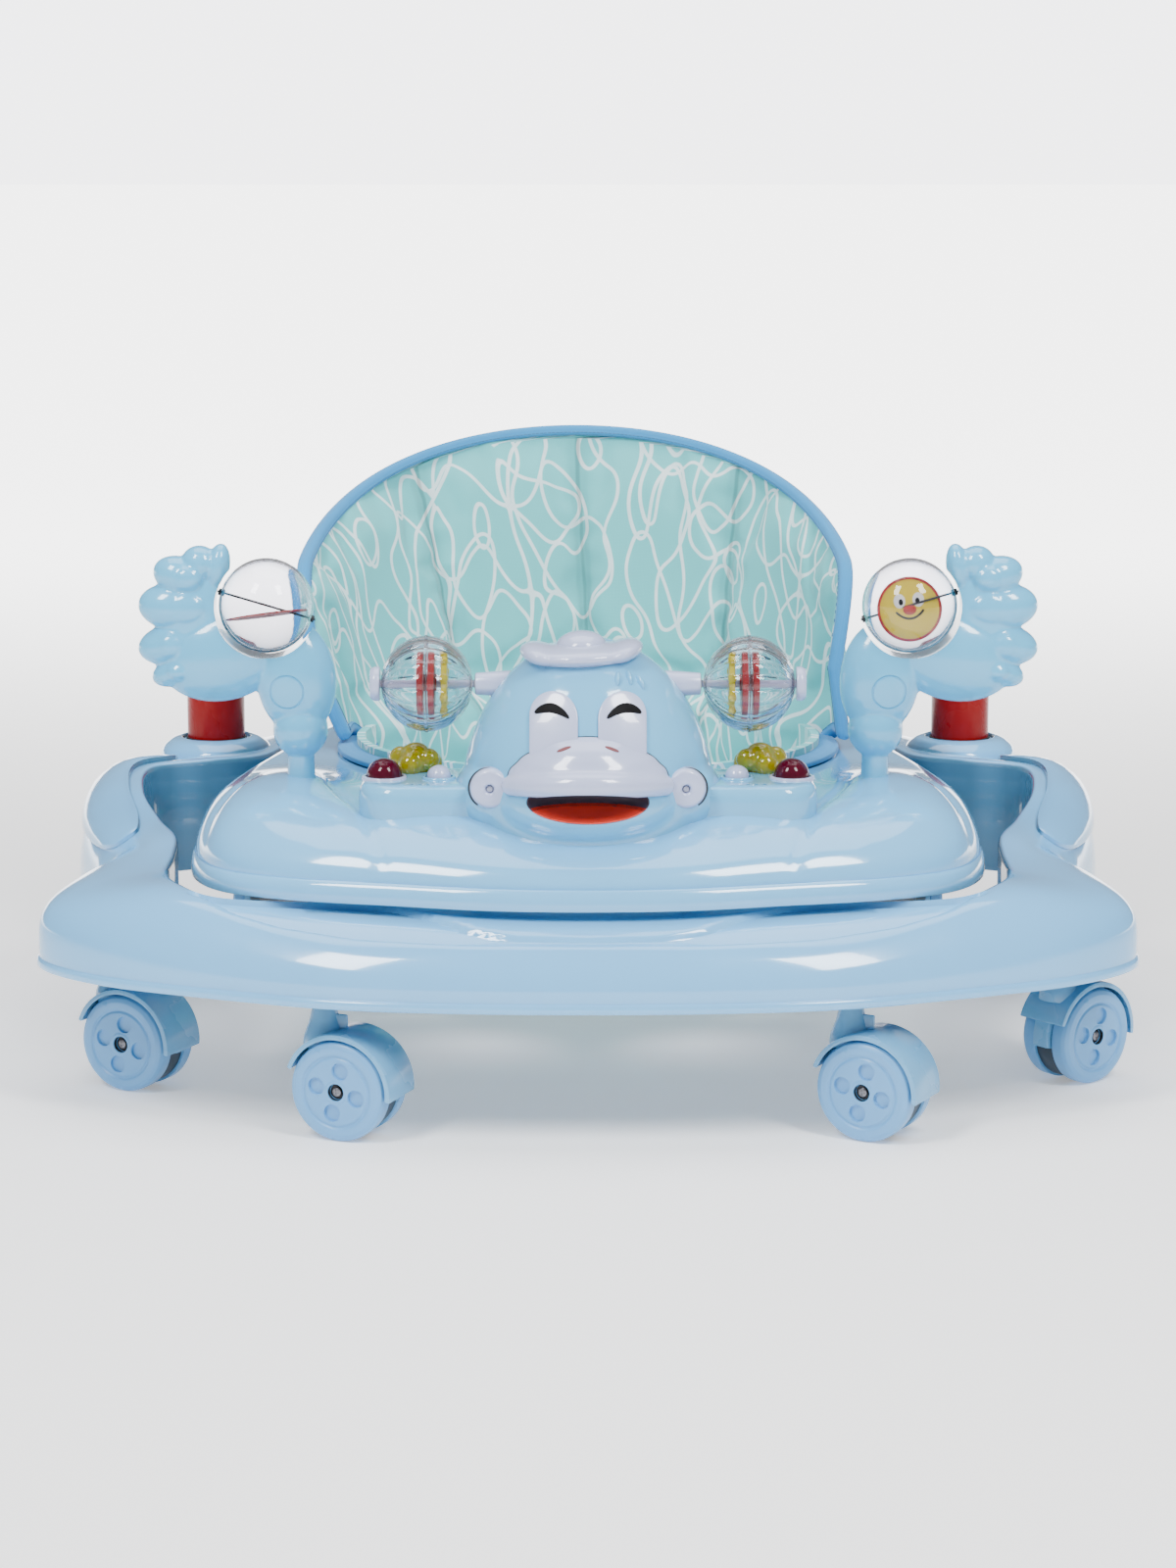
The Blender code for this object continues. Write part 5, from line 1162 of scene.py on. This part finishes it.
def seat_back():
    """Quilted backrest: a skin with stitched channels, then its binding and stitches."""
    s, t = np.linspace(-1, 1, BACK_COLUMNS), np.linspace(0, 1, BACK_ROWS)
    S, T = np.meshgrid(s, t, indexing="ij")
    inner, outer = [back_point(S, T, BACK_INSET + half) for half in (0.0020, -0.0020)]
    last_column, last_row = BACK_COLUMNS - 1, BACK_ROWS - 1
    rim = [(i, 0) for i in range(last_column)] + [(last_column, j) for j in range(last_row)]
    rim += [(i, last_row) for i in range(last_column, 0, -1)] + [(0, j) for j in range(last_row, 0, -1)]
    count = BACK_COLUMNS * BACK_ROWS
    faces = grid_faces(BACK_COLUMNS, BACK_ROWS).tolist()
    back = [[count + v for v in face] for face in faces]
    ids = [i * BACK_ROWS + j for i, j in rim]
    side = [[a, b, count + b, count + a] for a, b in zip(ids, ids[1:] + ids[:1])]
    points = np.concatenate([inner.reshape(-1, 3), outer.reshape(-1, 3)])
    uv = np.stack([S * BACK_HALF_ANGLE * BACK_CLOTH_R, inner[..., 2]], -1).reshape(-1, 2)
    panel = build("back_cushion", (points, faces + back + side), MATS["fabric"], 60,
                  np.concatenate([uv, uv + (1.3, 0.4)]))
    edge = np.zeros(S.shape, bool)
    edge[[0, -1], :] = True
    edge[:, [0, -1]] = True
    for seam in SEAMS:
        edge[int(np.argmin(np.abs(s - seam))), :] = True
    inflate(panel, np.concatenate([edge.ravel(), edge.ravel()]), 4.0, 0.011)
    crinkle(panel, np.tile(S.ravel(), 2), np.tile(T.ravel(), 2))
    fine = panel.modifiers.new("fine", "SUBSURF")
    fine.levels = fine.render_levels = 1
    bake(panel, 70)
    attach(panel, "tray", "seat_fabric", "seat_back")
    back_binding(s, rim, back_point(S, T, BACK_INSET))


def crinkle(panel, s, t):
    """Slow folds that run up from the seat, and gathers beside each seam."""
    co = np.array([v.co for v in panel.data.vertices])
    free = np.clip(np.minimum(t, 1 - t) * 6, 0, 1) * np.clip((1 - np.abs(s)) * 8, 0, 1)
    near = np.min([np.abs(s - seam) for seam in SEAMS], axis=0)
    folds = (0.0016 * np.sin(31 * s + 5.0 * t) * (1 - t) ** 2
             + 0.0011 * np.sin(46 * t + 9 * s) * np.exp(-(near / 0.06) ** 2)
             + 0.0014 * np.sin(19 * s - 11 * t + 2.0) * np.clip(np.abs(s) - 0.4, 0, 1))
    away = np.stack([np.sin(s * BACK_HALF_ANGLE), np.cos(s * BACK_HALF_ANGLE), np.full(len(s), 0.28)], -1)
    panel.data.vertices.foreach_set("co", (co - away * (folds * free)[:, None]).ravel())
    panel.data.update()


def back_binding(s, rim, middle):
    """Blue tape over the backrest's edge, except where it is tucked in, and the stitches along it."""
    border, outward, normal = [], [], []
    for k, (i, j) in enumerate(rim):
        run = middle[rim[(k + 1) % len(rim)]] - middle[rim[k - 1]]
        run /= np.linalg.norm(run)
        facing = np.array([math.sin(s[i] * BACK_HALF_ANGLE), -math.cos(s[i] * BACK_HALF_ANGLE), 0.28])
        facing /= np.linalg.norm(facing)
        out = np.cross(facing, run)
        border.append(middle[i, j])
        outward.append(out / np.linalg.norm(out))
        normal.append(facing)
    border, outward, normal = map(np.array, (border, outward, normal))
    if outward[rim.index((BACK_COLUMNS // 2, BACK_ROWS - 1))][2] < 0:
        outward = -outward
    free = [k for k, (i, j) in enumerate(rim) if j > 0 or abs(s[i]) > TUCK_END]
    first = next(k for k in free if k - 1 not in free and k > 0)
    order = [(first + k) % len(rim) for k in range(len(free))]
    border, outward, normal = border[order], outward[order], normal[order]
    half = [(-0.0050, 0.0036), (-0.0045, 0.0048), (0.0004, 0.0048), (0.0026, 0.0026)]
    section = soften(half + [(x, -z) for x, z in half[::-1]], 0.0018, True)
    length = np.concatenate([[0], np.cumsum(np.linalg.norm(np.diff(border, axis=0), axis=1))])
    tape_uv = np.stack(np.meshgrid(length, np.linspace(0, 0.03, len(section)), indexing="ij"), -1)
    fit("back_binding", tube(border, section, False, outward, normal), "binding", "tray", "seat_fabric",
        sharp=60, uv=tape_uv)
    stitches = []
    for k, run in enumerate(np.diff(border, axis=0)):
        run = run / np.linalg.norm(run)
        for share in (0.25, 0.75):
            spot = border[k] * (1 - share) + border[k + 1] * share - outward[k] * 0.0034
            for face in (-0.0049, 0.0049):
                stitch = spot + normal[k] * face
                stitches.append(capsule(stitch - run * 0.0009, stitch + run * 0.0009, 0.00032, 6))
    fit("back_stitches", join(*stitches), "thread", "tray", "seat_fabric")


def pan_grow(z):
    """Offset of the sling from the seat oval at a height."""
    return np.interp(z, (0.062, 0.069, 0.090, 0.125, 0.165, 0.1965),
                     (-0.125, -0.080, -0.040, -0.017, -0.008, -0.0072))


def seat_pan():
    """Fabric sling with bound leg openings."""
    heights = np.array([0.1965, 0.190, 0.180, 0.165, 0.150, 0.135, 0.122, 0.110, 0.100, 0.090, 0.082, 0.075,
                        0.070, 0.067, 0.0645, 0.0630, 0.0622])
    smooth = np.convolve(np.pad(pan_grow(heights), 1, mode="edge"), (0.25, 0.5, 0.25), "valid")
    steps = 144
    angle = np.arange(steps) / steps * TURN
    sag = 0.0016 * np.sin(9 * angle)[:, None] * np.clip((0.19 - heights) / 0.05, 0, 1)[None, :]

    def skin(inward):
        x, y = seat_oval(angle[:, None], smooth[None, :] - inward + sag)
        return np.stack([x, y, np.broadcast_to(heights, x.shape)], -1)

    outer, inner = skin(0.0), skin(0.0055)
    inner[..., 2] += np.clip((0.12 - heights) / 0.05, 0, 1) * 0.0055
    floor_out, floor_in = [np.zeros((steps, 1, 3)) + (0.0, SEAT_CENTRE_Y, z) for z in (0.0618, 0.0674)]
    grid = np.concatenate([floor_out, outer[:, ::-1], inner, floor_in], 1)
    u = np.broadcast_to((angle * SLING_CLOTH_R)[:, None], grid.shape[:2])
    reach = np.linalg.norm(grid[..., :2] - (0.0, SEAT_CENTRE_Y), axis=2)
    uv = np.stack([u + 3.0, grid[..., 2] - reach * 0.6], -1)
    pan = build("pan_skin", sheet_shape(grid, True, False), MATS["fabric"], 60, uv)
    tools = [rod((s * LEG_TOP[0], *LEG_TOP[1:]), (s * 0.1088, -0.184, 0.024), LEG_R, 0.0, 96)
             for s in (-1, 1)]
    cut(pan, *tools, sharp=60)
    attach(pan, "tray", "seat_fabric", "seat_pan")
    for side, sign in SIDES:
        path, line = leg_edge(sign)
        section = soften(oblong(-0.0030, 0.0050, -0.0046, 0.0046), 0.0022, True)
        up = np.tile(tuple(line), (len(path), 1))
        fit("leg_binding_" + side, tube(path, section, True, away_from_middle(path), up), "binding",
            "tray", "seat_fabric", sharp=60)


def leg_edge(sign):
    """Edge of a leg opening: where the lines of its bore leave the sling, and the bore's direction."""
    start, end = [Vector((sign * x, y, z)) for x, y, z in (LEG_TOP, LEG_END)]
    line = (end - start).normalized()
    a_axis = line.orthogonal().normalized()
    b_axis = line.cross(a_axis)
    path = []
    for a in np.linspace(0, TURN, 72, endpoint=False):
        base = start + a_axis * LEG_R * math.cos(a) + b_axis * LEG_R * math.sin(a)
        low, high = -0.02, 0.26
        for _ in range(30):
            mid = (low + high) / 2
            p = base + line * mid
            g = float(pan_grow(p.z)) - 0.0027
            reach = math.hypot(p.x / (SEAT_HALF_X + g), (p.y - SEAT_CENTRE_Y) / (SEAT_HALF_Y + g))
            low, high = (low, mid) if reach > 1 or p.z < 0.0645 else (mid, high)
        path.append(list(base + line * low))
    return np.array(path), line


# ---------------------------------------------------------------- frame and fittings
def frame_looks():
    """The scissor frame keeps its CAD shape and takes a finished material."""
    looks = [("frame_outer", "cream"), ("frame_inner", "cream")]
    for side, _ in SIDES:
        looks += [(kind + side, "cream")
                  for kind in ("base_bracket_", "base_guide_", "tray_guide_", "tray_bracket_")]
        looks.append(("cross_rivet_" + side, "steel"))
    for name, mat in looks:
        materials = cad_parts[name].data.materials
        materials.clear()
        materials.append(MATS[mat])


# ---------------------------------------------------------------- studio
def studio():
    g = Graph("floor")
    g.set(Base_Color=g.mix(g.noise(3.0), (0.94, 0.94, 0.94, 1), (0.96, 0.96, 0.96, 1)),
          Roughness=g.ramp(g.noise(20.0), 0.0, 1.0, 0.7, 0.85),
          Emission_Color=(1, 1, 1, 1))
    away = g.add("ShaderNodeSeparateXYZ", {0: g.coords.outputs["Object"]}).outputs["Y"]
    g.set(Emission_Strength=g.ramp(away, 0.25, 3.0, FLOOR_LIGHT, BACKDROP_LIGHT, smooth=True))
    span = 40.0
    points = np.array([(-span, -span, 0), (span, -span, 0), (span, span, 0), (-span, span, 0)])
    floor = build("floor", (points, [[0, 1, 2, 3]]), g.mat)

    world = bpy.data.worlds.new("studio")
    world.use_nodes = True
    tree = world.node_tree
    background = tree.nodes["Background"]
    background.inputs["Color"].default_value = (0.97, 0.97, 1.0, 1)
    # The room is white, and the backdrop behind the object is lit much more strongly.
    coords = tree.nodes.new("ShaderNodeTexCoord")
    split = tree.nodes.new("ShaderNodeSeparateXYZ")
    tree.links.new(coords.outputs["Generated"], split.inputs[0])

    def ramp(source, values):
        node = tree.nodes.new("ShaderNodeMapRange")
        node.interpolation_type = "SMOOTHSTEP"
        tree.links.new(source, node.inputs[0])
        for key, value in enumerate(values, 1):
            node.inputs[key].default_value = value
        return node.outputs[0]

    low_down = ramp(split.outputs["Z"], (0.04, 0.075, 1.0, 0.0))
    behind = tree.nodes.new("ShaderNodeMath")
    behind.operation = "MULTIPLY"
    tree.links.new(ramp(split.outputs["Y"], (0.80, 0.93, 0.0, 1.0)), behind.inputs[0])
    tree.links.new(low_down, behind.inputs[1])
    tree.links.new(ramp(behind.outputs[0], (0.0, 1.0, ROOM_LIGHT, BACKDROP_LIGHT)),
                   background.inputs["Strength"])
    bpy.context.scene.world = world

    def softbox(name, spot, target, width, height, power, colour=(1, 1, 1)):
        lamp = bpy.data.lights.new(name, "AREA")
        lamp.shape, lamp.energy, lamp.color = "RECTANGLE", power, colour
        lamp.size, lamp.size_y = width, height
        obj = bpy.data.objects.new(name, lamp)
        bpy.context.scene.collection.objects.link(obj)
        obj.location = spot
        obj.rotation_euler = (Vector(target) - Vector(spot)).to_track_quat("-Z", "Y").to_euler()

    for side, sign in SIDES:
        softbox("softbox_" + side, (sign * 0.95, -1.30, 1.75), (0, -0.05, 0.15), 0.45, 0.85, 41)
    softbox("overhead", (0, 0.25, 2.4), (0, 0, 0.15), 2.2, 1.6, 42, (0.97, 0.97, 1.0))

    camera = bpy.data.cameras.new("camera")
    camera.lens, camera.sensor_width = 81.0, 36.0
    view = bpy.data.objects.new("camera", camera)
    bpy.context.scene.collection.objects.link(view)
    view.location = (0, -2.36, 0.60)
    view.rotation_euler = (Vector((0, -0.11, 0.185)) - view.location).to_track_quat("-Z", "Y").to_euler()
    bpy.context.scene.camera = view


base_ring()
casters()
tray_shell()
seat_hoop()
duck()
for side_name, side_sign in SIDES:
    side_pad(side_name, side_sign)
    handle_socket(side_name, side_sign)
    console_wing(side_name, side_sign)
    rattle(side_name, side_sign)
    hand(side_name, side_sign)
seat_back()
seat_pan()
frame_looks()
studio()
